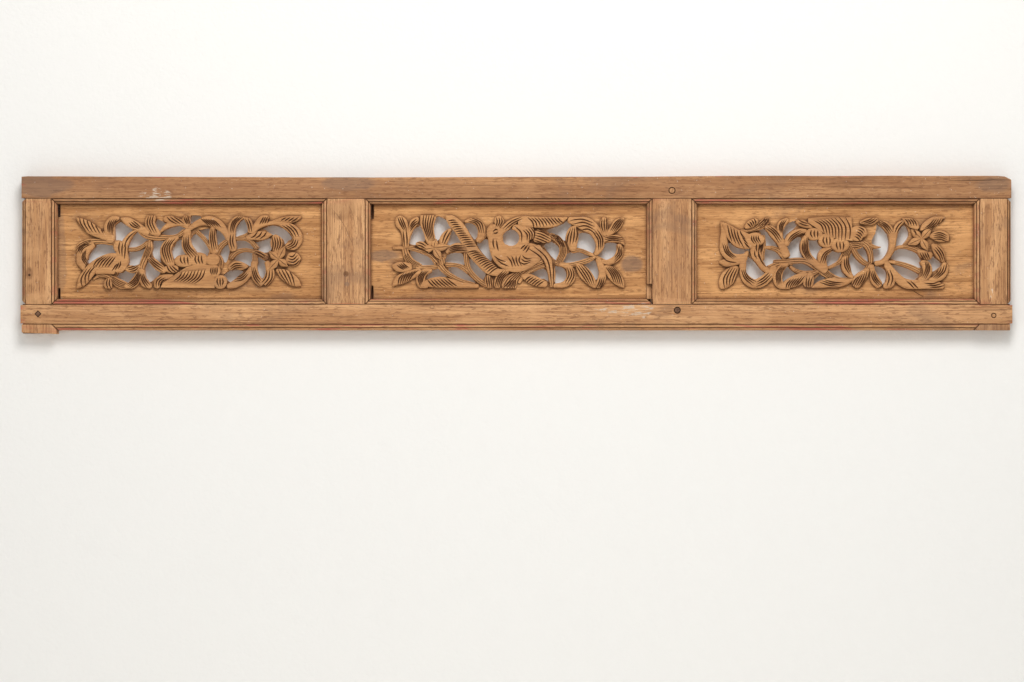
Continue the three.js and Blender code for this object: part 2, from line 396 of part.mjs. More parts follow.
const lowerQuirk = railBottom + LOWER_MOULDING_WIDTH;
const openingCentreZ = (openingTop + openingBottom) / 2;

// Solids.

function solidOf(geometry) {
  const bare = geometry.clone();
  bare.deleteAttribute("normal");
  bare.deleteAttribute("uv");
  const merged = mergeVertices(bare, 1e-4);
  const kept = [];
  for (let i = 0; i < merged.index.count; i += 3) {
    const corners = [0, 1, 2].map((k) => merged.index.getX(i + k));
    if (new Set(corners).size === 3) kept.push(...corners);
  }
  return new wasm.Manifold(new wasm.Mesh({
    numProp: 3,
    vertProperties: new Float32Array(merged.attributes.position.array),
    triVerts: new Uint32Array(kept),
  }));
}

function joinAll(solids) {
  return solids.reduce((whole, next) => whole.add(next));
}

// A box given by its lowest and highest x, its least and greatest depth from the back, and its z.
function box(x0, x1, back, front, z0, z1) {
  const geometry = new THREE.BoxGeometry(x1 - x0, front - back, z1 - z0);
  geometry.translate((x0 + x1) / 2, -(back + front) / 2, (z0 + z1) / 2);
  return solidOf(geometry);
}

// A flat outline in the front view, [x, z] points, as thick as its two depths.
function plate(outline, back, front) {
  const shape = new THREE.Shape(outline.map(([x, z]) => new THREE.Vector2(x, z)));
  const geometry = new THREE.ExtrudeGeometry(shape, { depth: front - back, bevelEnabled: false });
  geometry.rotateX(Math.PI / 2);
  geometry.translate(0, -back, 0);
  return solidOf(geometry);
}

// A closed solid through rings of points that all follow the same section.
function loft(section, rings) {
  const count = section.length;
  const points = rings.flat();
  const index = [];
  for (let r = 0; r < rings.length - 1; r += 1) {
    for (let k = 0; k < count; k += 1) {
      const a = r * count + k;
      const b = r * count + ((k + 1) % count);
      index.push(a, b, b + count, a, b + count, a + count);
    }
  }
  const outline = section.map(([u, d]) => new THREE.Vector2(u, d));
  const lastRing = (rings.length - 1) * count;
  for (const [a, b, c] of THREE.ShapeUtils.triangulateShape(outline, [])) {
    index.push(c, b, a, lastRing + a, lastRing + b, lastRing + c);
  }
  let volume = 0;
  for (let i = 0; i < index.length; i += 3) {
    const [a, b, c] = [points[index[i]], points[index[i + 1]], points[index[i + 2]]];
    volume += a.dot(b.clone().cross(c));
  }
  if (volume < 0) index.reverse();
  const geometry = new THREE.BufferGeometry().setFromPoints(points);
  geometry.setIndex(index);
  return solidOf(geometry);
}

// A moulded strip beside a quirk. It starts where the quirk is, and goes outwards by its width.
// At each end it is cut square or at a mitre. place turns [along, across, depth] into a point.
function moulding(from, to, width, mitres, place) {
  const overlap = 1;
  const profile = [
    [-overlap, 0], [width, 0], [width, FRAME_DEPTH - MOULDING_DROP],
    [width * 0.7, FRAME_DEPTH - MOULDING_DROP * 0.25], [QUIRK_WIDTH, FRAME_DEPTH - QUIRK_DEPTH / 3],
    [QUIRK_WIDTH / 2, FRAME_DEPTH - QUIRK_DEPTH], [-overlap, FRAME_DEPTH - QUIRK_DEPTH / 2],
  ];
  const ringAt = (end, inward, mitre) => profile.map(([u, d]) => {
    const along = end + inward * (FIT_GAP + mitre * Math.max(u, 0));
    return new THREE.Vector3(...place(along, u, d));
  });
  return loft(profile, [ringAt(from, 1, mitres[0]), ringAt(to, -1, mitres[1])]);
}

const downFrom = (z) => (along, u, d) => [along, -d, z - u];
const upFrom = (z) => (along, u, d) => [along, -d, z + u];
const rightFrom = (x) => (along, u, d) => [x + u, -d, along];
const leftFrom = (x) => (along, u, d) => [x - u, -d, along];

function peg(x, z, radius, sides, start) {
  const geometry = new THREE.CylinderGeometry(radius, radius, PEG_LENGTH, sides);
  geometry.rotateY(start);
  geometry.translate(x, -(FRAME_DEPTH - PEG_SUNK - PEG_LENGTH / 2), z);
  return solidOf(geometry);
}

function pegHole(x, z, radius, sides, start) {
  const proud = 0.5;
  const length = PEG_LENGTH + PEG_SUNK + FIT_GAP + proud;
  const geometry = new THREE.CylinderGeometry(radius + FIT_GAP, radius + FIT_GAP, length, sides);
  geometry.rotateY(start);
  geometry.translate(x, -(FRAME_DEPTH + proud - length / 2), z);
  return solidOf(geometry);
}

// Carved boards.

function drawingPlacer(edges, opening) {
  const [left, right, top, bottom] = edges;
  const across = (opening.x1 - opening.x0) / (right - left);
  const down = OPENING_HEIGHT / (bottom - top);
  return {
    x: (column) => opening.x0 + (column - left) * across,
    z: (row) => openingTop - (row - top) * down,
    width: (squares) => squares * (across + down) / 2,
  };
}

// The points of a stroke or outline without those that lie almost on the straight way past them.
function thinned(points, tolerance) {
  const kept = [points[0]];
  for (let i = 1; i < points.length - 1; i += 1) {
    const [x0, y0] = kept[kept.length - 1];
    const [x1, y1] = points[i + 1];
    const [x, y] = points[i];
    const offset = Math.abs((x - x0) * (y1 - y0) - (y - y0) * (x1 - x0)) / Math.hypot(x1 - x0, y1 - y0);
    if (offset > tolerance) kept.push(points[i]);
  }
  kept.push(points[points.length - 1]);
  return kept;
}

// A stroke of the carving. A stem or leaf slants from one side to the other, by slant, and a
// bird's band has a crown along its middle.
function stroke(stations, relief, slant, placer) {
  const samples = thinned(stations, STROKE_TOLERANCE)
    .map(([x, y, width]) => new THREE.Vector3(placer.x(x), placer.z(y), placer.width(width)));
  const ground = BOARD_BACK + BOARD_THICKNESS;
  const rough = BOARD_BACK - TRIM_DEPTH;
  const high = ground + relief;
  const section = slant === 0
    ? [[-1, rough], [1, rough], [1, high - EDGE_DROP], [0, high], [-1, high - EDGE_DROP]]
    : [[-1, rough], [1, rough], [1, high - slant], [-1, high]];
  const rings = samples.map((sample, i) => {
    const before = samples[Math.max(i - 1, 0)];
    const after = samples[Math.min(i + 1, samples.length - 1)];
    const heading = new THREE.Vector2(after.x - before.x, after.y - before.y).normalize();
    const half = sample.z / 2;
    return section.map(([u, d]) => new THREE.Vector3(
      sample.x + heading.y * half * u,
      -d,
      sample.y - heading.x * half * u,
    ));
  });
  return loft(section, rings);
}

function dome([x, y, halfWidth, halfHeight, tilt], relief, placer) {
  const ground = BOARD_BACK + BOARD_THICKNESS;
  const rough = BOARD_BACK - TRIM_DEPTH;
  const profile = [
    [0, rough], [1, rough], [1, ground + relief - EDGE_DROP], [0.6, ground + relief], [0, ground + relief],
  ];
  const geometry = new THREE.LatheGeometry(profile.map(([r, d]) => new THREE.Vector2(r, d)), DOME_SIDES);
  geometry.rotateX(Math.PI);
  geometry.scale(placer.width(halfWidth), 1, placer.width(halfHeight));
  geometry.rotateY(THREE.MathUtils.degToRad(tilt));
  geometry.translate(placer.x(x), 0, placer.z(y));
  return solidOf(geometry);
}

function grownWindow(outline) {
  const count = outline.length;
  const cx = outline.reduce((sum, [x]) => sum + x, 0) / count;
  const cy = outline.reduce((sum, [, y]) => sum + y, 0) / count;
  return outline.map(([x, y]) => {
    const reach = Math.hypot(x - cx, y - cy);
    return [x + (x - cx) / reach * WINDOW_GROWTH, y + (y - cy) / reach * WINDOW_GROWTH];
  });
}

function boardWithTongue(opening, gap, thicknessGap) {
  const face = box(opening.x0 + FIT_GAP, opening.x1 - FIT_GAP, BOARD_BACK - TRIM_DEPTH,
                   BOARD_BACK + BOARD_THICKNESS,
    openingBottom + FIT_GAP, openingTop - FIT_GAP);
  const reach = TONGUE_LENGTH + gap;
  const tongue = box(opening.x0 - reach, opening.x1 + reach, TONGUE_BACK - thicknessGap,
    TONGUE_BACK + TONGUE_THICKNESS + thicknessGap, openingBottom - reach, openingTop + reach);
  return face.add(tongue);
}

function carvedBoard(drawing, opening) {
  const placer = drawingPlacer(drawing.edges, opening);
  const toPlace = (outline) => outline.map(([x, y]) => [placer.x(x), placer.z(y)]);
  const ground = BOARD_BACK + BOARD_THICKNESS;
  const windows = drawing.windows.map((outline) => {
    const opened = grownWindow(thinned(outline, WINDOW_TOLERANCE));
    return plate(toPlace(opened), -1, ground + 1);
  });
  const carving = [
    ...drawing.stems.map((stations) => stroke(stations, STEM_RELIEF, STEM_SLANT, placer)),
    ...drawing.leaves.map((stations) => stroke(stations, LEAF_RELIEF, LEAF_SLANT, placer)),
    ...drawing.birds.map((stations) => stroke(stations, BIRD_RELIEF, 0, placer)),
    ...drawing.domes.map((petal) => dome(petal, BIRD_RELIEF, placer)),
    ...drawing.fans.map((outline) => plate(toPlace(outline), BOARD_BACK - TRIM_DEPTH, ground + LEAF_RELIEF)),
  ];
  const rough = joinAll([boardWithTongue(opening, 0, 0).subtract(joinAll(windows)), ...carving]);
  const behind = box(opening.x0 - 1, opening.x1 + 1, -TRIM_DEPTH, BOARD_BACK, openingBottom - 1,
                     openingTop + 1);
  return rough.subtract(behind);
}

const grooves = openings.map((opening) => boardWithTongue(opening, FIT_GAP, FIT_GAP));

// Frame.

const stiles = {
  stile_left_end: { x0: frameLeft, x1: leftOpening.x0, outerLeft: true },
  stile_left_middle: { x0: leftOpening.x1, x1: centreOpening.x0 },
  stile_right_middle: { x0: centreOpening.x1, x1: rightOpening.x0, brokenLeft: true },
  stile_right_end: { x0: rightOpening.x1, x1: frameRight, outerRight: true },
};

function tenon(stile, z0, z1, gap) {
  return box(stile.x0 + TENON_SHOULDER - gap, stile.x1 - TENON_SHOULDER + gap, TENON_BACK - gap,
    TENON_BACK + TENON_THICKNESS + gap, z0, z1);
}

function stileSolid(stile) {
  const leftWidth = stile.outerLeft ? OUTER_MOULDING_WIDTH : INNER_MOULDING_WIDTH;
  const rightWidth = stile.outerRight ? OUTER_MOULDING_WIDTH : INNER_MOULDING_WIDTH;
  const faceLeft = stile.x0 + leftWidth;
  const faceRight = stile.x1 - rightWidth;
  const top = topQuirk - FIT_GAP;
  const bottom = bottomQuirk + FIT_GAP;
  const leftStart = stile.brokenLeft ? bottomQuirk + BROKEN_MOULDING_LENGTH : bottomQuirk;
  const parts = [
    box(faceLeft, faceRight, 0, FRAME_DEPTH, bottom, top),
    moulding(leftStart, topQuirk, leftWidth, [stile.brokenLeft ? 0 : 1, 1], leftFrom(faceLeft)),
    moulding(bottomQuirk, topQuirk, rightWidth, [1, 1], rightFrom(faceRight)),
    tenon(stile, top - 1, topQuirk + TENON_LENGTH, 0),
  ];
  if (stile.brokenLeft) {
    parts.push(box(stile.x0, faceLeft + 1, 0, FRAME_DEPTH - MOULDING_DROP * 1.4,
      openingBottom + FIT_GAP, leftStart + 1));
  }
  if (stile.outerLeft || stile.outerRight) {
    parts.push(runOn(stile, faceLeft, faceRight, bottom));
  } else {
    parts.push(tenon(stile, bottomQuirk - TENON_LENGTH, bottom + 1, 0));
  }
  return grooves.reduce((solid, groove) => solid.subtract(groove), joinAll(parts));
}

// An end stile runs on behind the bottom rail at half its depth, and its cut-off stub shows below.
function runOn(stile, faceLeft, faceRight, bottom) {
  const half = FRAME_DEPTH / 2 - FIT_GAP;
  const drop = stile.outerLeft ? STUB_DROP : 0;
  const stubBottom = railBottom - drop;
  const behind = box(stile.x0, stile.x1 - FIT_GAP, 0, half, stubBottom + 1, bottom + 1);
  const mitre = LOWER_MOULDING_WIDTH - FIT_GAP;
  const top = lowerQuirk - FIT_GAP * 2;
  const outline = stile.outerLeft
    ? [[stile.x0, top], [faceRight, top], [faceRight + mitre - 2, top - mitre + 2],
      [faceRight + mitre - 2, stubBottom], [stile.x0, stubBottom + 3]]
    : [[faceLeft - mitre + 2, stubBottom], [stile.x1 - 2, stubBottom], [stile.x1 - 2, top],
      [faceLeft, top], [faceLeft - mitre + 2, top - mitre + 2]];
  return behind.add(plate(outline, 0, FRAME_DEPTH - 1));
}

const pegs = {
  peg_top_rail: { x: (centreOpening.x1 + rightOpening.x0) / 2, z: topQuirk + 15, radius: PEG_RADIUS,
                 sides: PEG_SIDES },
  peg_bottom_rail: { x: (centreOpening.x1 + rightOpening.x0) / 2 + 10, z: bottomQuirk - 11,
                    radius: PEG_RADIUS, sides: PEG_SIDES },
  peg_left_corner: { x: frameLeft + 31, z: bottomQuirk - 18, radius: SQUARE_PEG_SIDE / Math.SQRT2, sides: 4 },
  peg_right_corner: { x: frameRight - 33, z: bottomQuirk - 21, radius: SMALL_PEG_RADIUS, sides: PEG_SIDES },
};

const pegHoles = Object.values(pegs).map(({ x, z, radius, sides }) => pegHole(x, z, radius, sides, 0));

function withPegHoles(solid) {
  return pegHoles.reduce((rest, hole) => rest.subtract(hole), solid);
}

function topRail() {
  const parts = [box(frameLeft, frameRight, 0, FRAME_DEPTH, topQuirk, railTop)];
  for (const { x0, x1 } of openings) {
    const reach = INNER_MOULDING_WIDTH;
    parts.push(moulding(x0 - reach, x1 + reach, reach, [1, 1], downFrom(topQuirk)));
  }
  const mortises = Object.values(stiles).map((stile) => tenon(stile, topQuirk - 1,
                                                              topQuirk + TENON_LENGTH + FIT_GAP, FIT_GAP));
  return [...mortises, ...grooves].reduce((rail, cut) => rail.subtract(cut), joinAll(parts));
}

function bottomRail() {
  const railLeft = frameLeft - RAIL_OVERHANG;
  const railRight = frameRight + RAIL_OVERHANG;
  const parts = [box(railLeft, railRight, 0, FRAME_DEPTH, lowerQuirk, bottomQuirk)];
  for (const { x0, x1 } of openings) {
    const reach = INNER_MOULDING_WIDTH;
    parts.push(moulding(x0 - reach, x1 + reach, reach, [1, 1], upFrom(bottomQuirk)));
  }
  const lowerFrom = leftOpening.x0 - INNER_MOULDING_WIDTH;
  const lowerTo = rightOpening.x1 + INNER_MOULDING_WIDTH;
  parts.push(moulding(lowerFrom, lowerTo, LOWER_MOULDING_WIDTH, [1, 1], downFrom(lowerQuirk)));
  const cuts = [...grooves];
  for (const stile of [stiles.stile_left_middle, stiles.stile_right_middle]) {
    cuts.push(tenon(stile, bottomQuirk - TENON_LENGTH - FIT_GAP, bottomQuirk + 1, FIT_GAP));
  }
  const half = FRAME_DEPTH / 2;
  const lapTop = bottomQuirk + 2;
  cuts.push(box(railLeft - 1, leftOpening.x0, -1, half, railBottom - 1, lapTop));
  cuts.push(box(rightOpening.x1 - FIT_GAP, railRight + 1, -1, half, railBottom - 1, lapTop));
  return cuts.reduce((rail, cut) => rail.subtract(cut), joinAll(parts));
}

// The finished pieces, each a mesh placed at its own centre line.

const frameWood = { color: 0xb5845f, roughness: 0.78, metalness: 0 };
const carvedWood = { color: 0xb97f4c, roughness: 0.74, metalness: 0 };
const pegWood = { color: 0x6d4329, roughness: 0.8, metalness: 0 };

const carvedWallPanel = new THREE.Group();

function addPiece(name, solid, finish, x, z) {
  const mesh = solid.getMesh();
  const geometry = new THREE.BufferGeometry();
  const positions = new Float32Array(mesh.numVert * 3);
  for (let i = 0; i < mesh.numVert; i += 1) {
    for (let k = 0; k < 3; k += 1) positions[i * 3 + k] = mesh.vertProperties[i * mesh.numProp + k];
  }
  geometry.setAttribute("position", new THREE.BufferAttribute(positions, 3));
  geometry.setIndex(new THREE.BufferAttribute(new Uint32Array(mesh.triVerts), 1));
  geometry.translate(-x, 0, -z);
  geometry.computeVertexNormals();
  const piece = new THREE.Mesh(geometry, new THREE.MeshStandardMaterial(finish));
  piece.name = name;
  piece.position.set(x, 0, z);
  carvedWallPanel.add(piece);
}

addPiece("top_rail", withPegHoles(topRail()), frameWood, 0, 0);
addPiece("bottom_rail", withPegHoles(bottomRail()), frameWood, 0, (openingBottom + railBottom) / 2);
for (const [name, stile] of Object.entries(stiles)) {
  addPiece(name, withPegHoles(stileSolid(stile)), frameWood, (stile.x0 + stile.x1) / 2, openingCentreZ);
}
const boards = { carved_panel_left: ["left", leftOpening], carved_panel_centre: ["centre", centreOpening],
                carved_panel_right: ["right", rightOpening] };
for (const [name, [drawing, opening]] of Object.entries(boards)) {
  addPiece(name, carvedBoard(DRAWINGS[drawing], opening), carvedWood, (opening.x0 + opening.x1) / 2,
           openingCentreZ);
}
for (const [name, { x, z, radius, sides }] of Object.entries(pegs)) {
  addPiece(name, peg(x, z, radius, sides, 0), pegWood, x, z);
}

export default carvedWallPanel;
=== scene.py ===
"""Dresses a long carved wall panel: three pierced boards of birds and vines in a pegged, moulded frame.

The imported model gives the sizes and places. The boards and the frame's members are modelled again with
finer carving, gouge cuts and worn edges, and every piece gets a procedural wood finish.
"""

from __future__ import annotations

import logging
import math
from dataclasses import dataclass, field
from enum import Enum

import bmesh
import bpy
import numpy as np
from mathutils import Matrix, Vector, kdtree, noise
from mathutils.bvhtree import BVHTree

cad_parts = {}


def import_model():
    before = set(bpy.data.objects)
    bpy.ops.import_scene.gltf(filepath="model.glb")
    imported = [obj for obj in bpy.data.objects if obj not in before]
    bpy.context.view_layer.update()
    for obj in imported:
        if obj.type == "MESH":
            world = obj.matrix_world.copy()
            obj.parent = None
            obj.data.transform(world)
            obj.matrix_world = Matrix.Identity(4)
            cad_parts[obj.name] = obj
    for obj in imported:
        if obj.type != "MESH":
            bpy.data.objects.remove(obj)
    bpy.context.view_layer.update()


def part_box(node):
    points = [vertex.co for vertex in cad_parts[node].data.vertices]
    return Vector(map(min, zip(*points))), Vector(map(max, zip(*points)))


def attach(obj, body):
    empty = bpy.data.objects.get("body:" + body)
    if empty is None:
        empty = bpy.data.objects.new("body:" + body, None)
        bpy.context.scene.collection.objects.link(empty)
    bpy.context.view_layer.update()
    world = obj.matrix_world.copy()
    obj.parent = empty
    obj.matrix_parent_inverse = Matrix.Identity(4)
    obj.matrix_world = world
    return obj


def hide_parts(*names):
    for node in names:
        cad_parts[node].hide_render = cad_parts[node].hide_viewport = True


log = logging.getLogger("wall_panel")

MILLIMETRE = 0.001

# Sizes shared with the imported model, in millimetres. Depth is counted from the panel's back.
FRAME_DEPTH = 32.0
BOARD_BACK = 2.0
BOARD_THICKNESS = 15.0
GROUND = BOARD_BACK + BOARD_THICKNESS
TONGUE_LENGTH = 7.0
TONGUE_BACK = 6.0
TONGUE_THICKNESS = 7.0
INNER_MOULDING = 10.0
OUTER_MOULDING = 7.0
LOWER_MOULDING = 12.0
MOULDING_DROP = 9.0
QUIRK_WIDTH = 1.4
QUIRK_DEPTH = 3.2
JOINT_GAP = 0.35
STEM_RELIEF = 6.0
LEAF_RELIEF = 8.0
BIRD_RELIEF = 10.0
WINDOW_GROWTH = 1.6

# A cutter or a stroke runs past the face that it ends in by the overrun, and some cutters start in front
# of everything.
OVERRUN = 1.0
IN_FRONT = 60.0

# The carving is set out on a squared drawing that covers the whole front. A point is [squares to the
# right, squares down], a third number is the width of a stroke there, and a scallop is [right, down, half
# width, half height]. A family of gouge cuts is the three points of its first cut, the three points of
# its last cut, and how many there are.

LEFT_STEMS = [
    [[114, 243, 6], [100, 241.5, 5], [88, 242.5, 7], [79, 247, 8], [75.5, 252, 4]],
    [[92.5, 279, 2], [98, 275.5, 4], [105, 275.5, 5], [112, 279.5, 7], [119, 284, 9], [127, 286, 6]],
    [[140, 271, 5], [141.5, 264, 6], [145, 256, 7], [148, 248, 7], [148.5, 241, 5]],
    [[127, 249.5, 4], [135, 249, 4], [141, 246.5, 4], [147, 242, 4]],
    [[137, 230.5, 3], [145, 235.5, 6], [155, 237.5, 6], [166, 237.5, 5], [176, 236, 4], [184, 231.5, 6]],
    [[195.5, 231.5, 4], [202, 237.5, 4], [207, 244, 4], [211, 250, 5]],
    [[227, 240.5, 5], [221, 245, 5], [217, 251, 5], [214, 257, 7]],
    [[213, 250, 9], [213, 258, 12], [215, 266, 9]],
    [[235, 238.5, 4], [243, 238.5, 4], [250, 241.5, 4.5], [256, 248.5, 4.5]],
    [[230, 258, 5], [235, 252.5, 5], [243, 250, 4], [251, 251, 4], [259, 254, 6], [266, 258, 7]],
    [[254, 254, 5], [254, 262, 6], [252, 268, 6]],
    [[217, 256, 6], [218.5, 262, 8], [219, 268, 5]],
]
LEFT_LEAVES = [
    [[74.5, 217.5, 1], [81, 222, 7], [89, 228, 11], [97, 233, 9], [106, 238, 6]],
    [[118, 218, 3], [112, 219.5, 7], [108.5, 225, 10], [108.5, 232, 10], [109.5, 241, 9]],
    [[92, 244.5, 6], [85, 250, 9], [80.5, 258, 12], [81.5, 265, 8], [83, 270, 3]],
    [[108, 279, 5], [107, 284, 9], [108.5, 288, 6]],
    [[124, 286.5, 4], [131, 284.5, 8], [136.5, 278, 8], [139.5, 270, 5]],
    [[141, 270, 5], [141.5, 277, 6], [144, 283, 8], [150, 286.5, 5]],
    [[139, 266, 4], [134, 269, 7], [128.5, 269, 7], [123.5, 269, 2]],
    [[147, 257.5, 3], [152, 261.5, 7], [158, 267, 8], [164, 271, 6]],
    [[120, 218.5, 2], [126, 221, 8], [133, 225, 9], [140, 229, 8], [147, 233, 6]],
    [[151, 216, 9], [149, 222, 10], [151, 229, 10], [158, 234.5, 6]],
    [[159.5, 232, 2], [164, 227.5, 4], [171, 223.5, 7], [179, 222.5, 7], [187, 227, 5]],
    [[164, 219, 6], [170, 220, 8], [177, 222, 8]],
    [[184, 216.5, 4], [185, 220, 8], [188, 225.5, 5]],
    [[183.5, 233, 5], [190, 227.5, 5], [199, 222.5, 7], [208, 221, 10], [217, 224.5, 10], [224, 231.5, 7],
     [228, 240, 5]],
    [[188, 230.5, 5], [185.5, 238, 8], [186, 246, 10], [191, 254, 10], [196, 259, 6]],
    [[177, 237, 4], [169.5, 241.5, 8], [165, 249, 11], [166, 257, 11], [171, 265, 8]],
    [[212, 228, 5], [211.5, 236, 7], [212.5, 244, 8], [213.5, 252, 9]],
    [[176, 269, 8], [169, 269, 8], [163, 269, 4]],
    [[172, 276, 4], [163, 278.5, 8], [157, 282, 7], [156, 287, 6]],
    [[243, 217.5, 2], [236.5, 219.5, 7], [232, 225, 8], [230.5, 232, 8], [231, 241, 8], [232.5, 250, 7]],
    [[243, 218, 2], [247.5, 221, 6], [249.5, 226, 6], [250, 232, 6]],
    [[266, 217, 8], [261, 221, 9], [256, 226, 7], [252, 231, 6]],
    [[251, 232, 6], [258, 226.5, 5], [267, 223.5, 4], [277, 223, 4.5], [286, 226, 8], [294, 231.5, 10],
     [297, 239, 10], [293, 245.5, 9], [286, 246, 6]],
    [[272, 221.5, 2], [281, 220, 5], [290, 219.5, 7], [296, 218.5, 5], [300.5, 217, 2]],
    [[246, 238, 4], [254, 236, 8], [261, 235.5, 9], [267, 235, 6], [271.5, 235, 1]],
    [[274, 236, 6], [275.5, 241, 12], [276, 247, 11], [276, 253, 8]],
    [[253.5, 262, 6], [253, 270, 7], [255.5, 278, 8], [261, 283.5, 8]],
    [[266, 262, 5], [269, 269, 8], [269, 276, 9], [264, 283, 8]],
    [[286, 261, 6], [291, 259.5, 14], [297, 259, 11], [300, 259, 3]],
    [[276, 270, 3], [283, 274, 10], [290, 279, 11], [296, 283, 8], [300.5, 286, 1]],
    [[229, 268, 6], [235, 265, 8], [241, 266, 8], [247, 266.5, 3]],
    [[251, 268, 5], [247.5, 274, 7], [241, 279.5, 9], [234, 284, 8], [227, 286.5, 5]],
]
LEFT_BIRDS = [
    [[136, 230, 2], [131, 233.5, 4], [126.5, 239, 6], [123, 246, 8], [121, 254, 12], [120, 262, 15],
     [115, 268, 14]],
    [[124, 262, 12], [112, 260, 14], [102, 262, 12], [93, 267, 11], [86, 275, 11], [81, 282, 9],
     [76, 288, 2]],
    [[95, 272, 5], [104, 270, 8], [113, 270.5, 8]],
]
LEFT_SCALLOPS = [
    [117.5, 246.5, 4, 5], [183.5, 261, 8, 5], [198, 260, 7.5, 6], [212, 260, 5.5, 5], [213.5, 271, 5, 5],
    [219.5, 282, 5.5, 5.5],
]
LEFT_FANS = [
    [[160, 287.5], [162, 283], [170, 278], [178, 272], [186, 267], [194, 264.7], [205.5, 264.5],
     [214, 266], [214, 288], [204, 288]],
]
LEFT_WINDOWS = [
    [[119, 223], [123, 226], [130, 230], [126, 233], [123, 238], [120.5, 241.5], [117, 241], [114, 236],
     [113.5, 231], [115, 226]],
    [[136, 232.5], [140, 236], [146.5, 239.5], [141, 244], [134, 247], [128, 248], [128.5, 244], [131, 238]],
    [[95, 246], [104, 245], [113, 248], [114, 254], [105, 254.5], [97, 257], [91, 261], [88, 262.5],
     [86.5, 256], [89, 250]],
    [[129, 252], [137, 252], [144, 248.5], [143, 254], [139, 260], [135, 264.5], [128.5, 264], [128, 258]],
    [[146.5, 260], [152, 266.5], [158, 272], [153, 277], [148, 281], [145, 276], [144, 268]],
    [[121, 271.5], [126, 273], [133, 274], [131, 279], [126, 283], [122, 280], [117, 276]],
    [[156, 220], [163.5, 224], [160, 227], [157, 230], [155, 226]],
    [[161, 232.5], [166, 229], [172, 227], [179, 227], [186, 229.5], [183, 233], [176, 235], [169, 235]],
    [[191, 216.5], [198, 217], [200, 222], [196, 224], [192, 225], [190.5, 221]],
    [[153, 240.5], [166, 240.5], [161, 244], [158.5, 250], [159, 258], [160, 261], [154, 257], [152, 251]],
    [[175, 243], [180, 240.5], [181, 247], [183, 255], [179, 257.5], [176, 262], [173, 259], [171, 253]],
    [[193, 235.5], [197, 236], [202, 241], [207, 248], [209, 254], [207, 260], [203, 257], [197, 253],
     [192, 247], [190, 241]],
    [[199, 231], [208, 229.5], [208, 234], [206.5, 239], [203, 236]],
    [[216, 231], [221, 232.5], [225, 239], [221, 242], [217.5, 247], [216, 240]],
    [[226, 243], [227.5, 250], [226, 258], [224, 261], [220, 257], [220, 251]],
    [[239, 221], [243, 221], [246, 225], [246.5, 229], [244, 232], [239, 234], [235, 235.5], [235.5, 230],
     [237, 224.5]],
    [[236, 240.5], [242, 240.5], [247, 243], [251, 248.5], [243, 249], [236, 250], [235, 245]],
    [[256, 243], [261, 242], [267, 239.5], [269, 242], [269, 249], [265, 251], [260, 250.5], [257.5, 247]],
    [[263, 229], [268, 227], [275, 227], [282, 230], [287, 234], [289.5, 238], [286, 240], [283, 243],
     [281, 238], [277, 235], [271, 234.5], [267, 231]],
    [[234, 259], [238, 254.5], [245, 252], [251, 254], [251, 259], [249, 264.5], [246, 264], [242, 261],
     [238, 260.5]],
    [[257.5, 257], [256, 262], [256.5, 270], [259, 275], [261.5, 277], [264, 271], [264.5, 264], [262, 259]],
    [[224, 275], [229, 271.5], [235, 271], [241, 272], [237, 275], [233, 278], [232, 282], [228, 279.5]],
]
CENTRE_STEMS = [
    [[393, 248.3, 3], [403, 248.2, 3.5], [412, 248.7, 4.5], [422, 251.7, 4.5], [430, 256, 4],
     [438, 264, 7], [445, 272, 5], [453, 277.5, 5], [463, 281.8, 4], [474, 285.5, 5]],
    [[441, 259, 6], [442, 264, 6]],
    [[404.5, 249, 6], [406.5, 256, 7], [411, 262.5, 8], [420, 267, 6]],
    [[404, 266, 9], [414, 268, 7], [425, 268.3, 5.5], [437, 267, 4]],
    [[446, 265, 5], [455, 265.2, 4], [462, 267.5, 5], [468, 272, 5]],
    [[466, 253, 5], [466.5, 262, 5], [469, 270, 5], [475.5, 278, 5], [484, 284.5, 5], [492, 287, 3]],
    [[478, 242, 4], [484, 237, 4], [488.5, 230, 4.5], [493, 225.5, 5]],
    [[543, 260.5, 6], [533, 265, 6], [524, 269.5, 6], [517, 275, 8], [511, 281, 13], [508, 287.5, 17]],
    [[546, 266, 4], [538, 268, 4], [530, 272, 4], [523, 277, 4], [519, 283, 3]],
    [[550, 236, 6], [557, 239, 7], [562, 245, 7], [563, 253, 8], [559, 262, 7]],
    [[572, 251, 5], [580, 250.5, 4], [588, 253.5, 4], [596, 256.8, 3], [604, 262, 5]],
    [[556, 263, 5], [566, 265.5, 5], [577, 264, 5], [587, 261, 5], [595, 257.5, 3]],
]
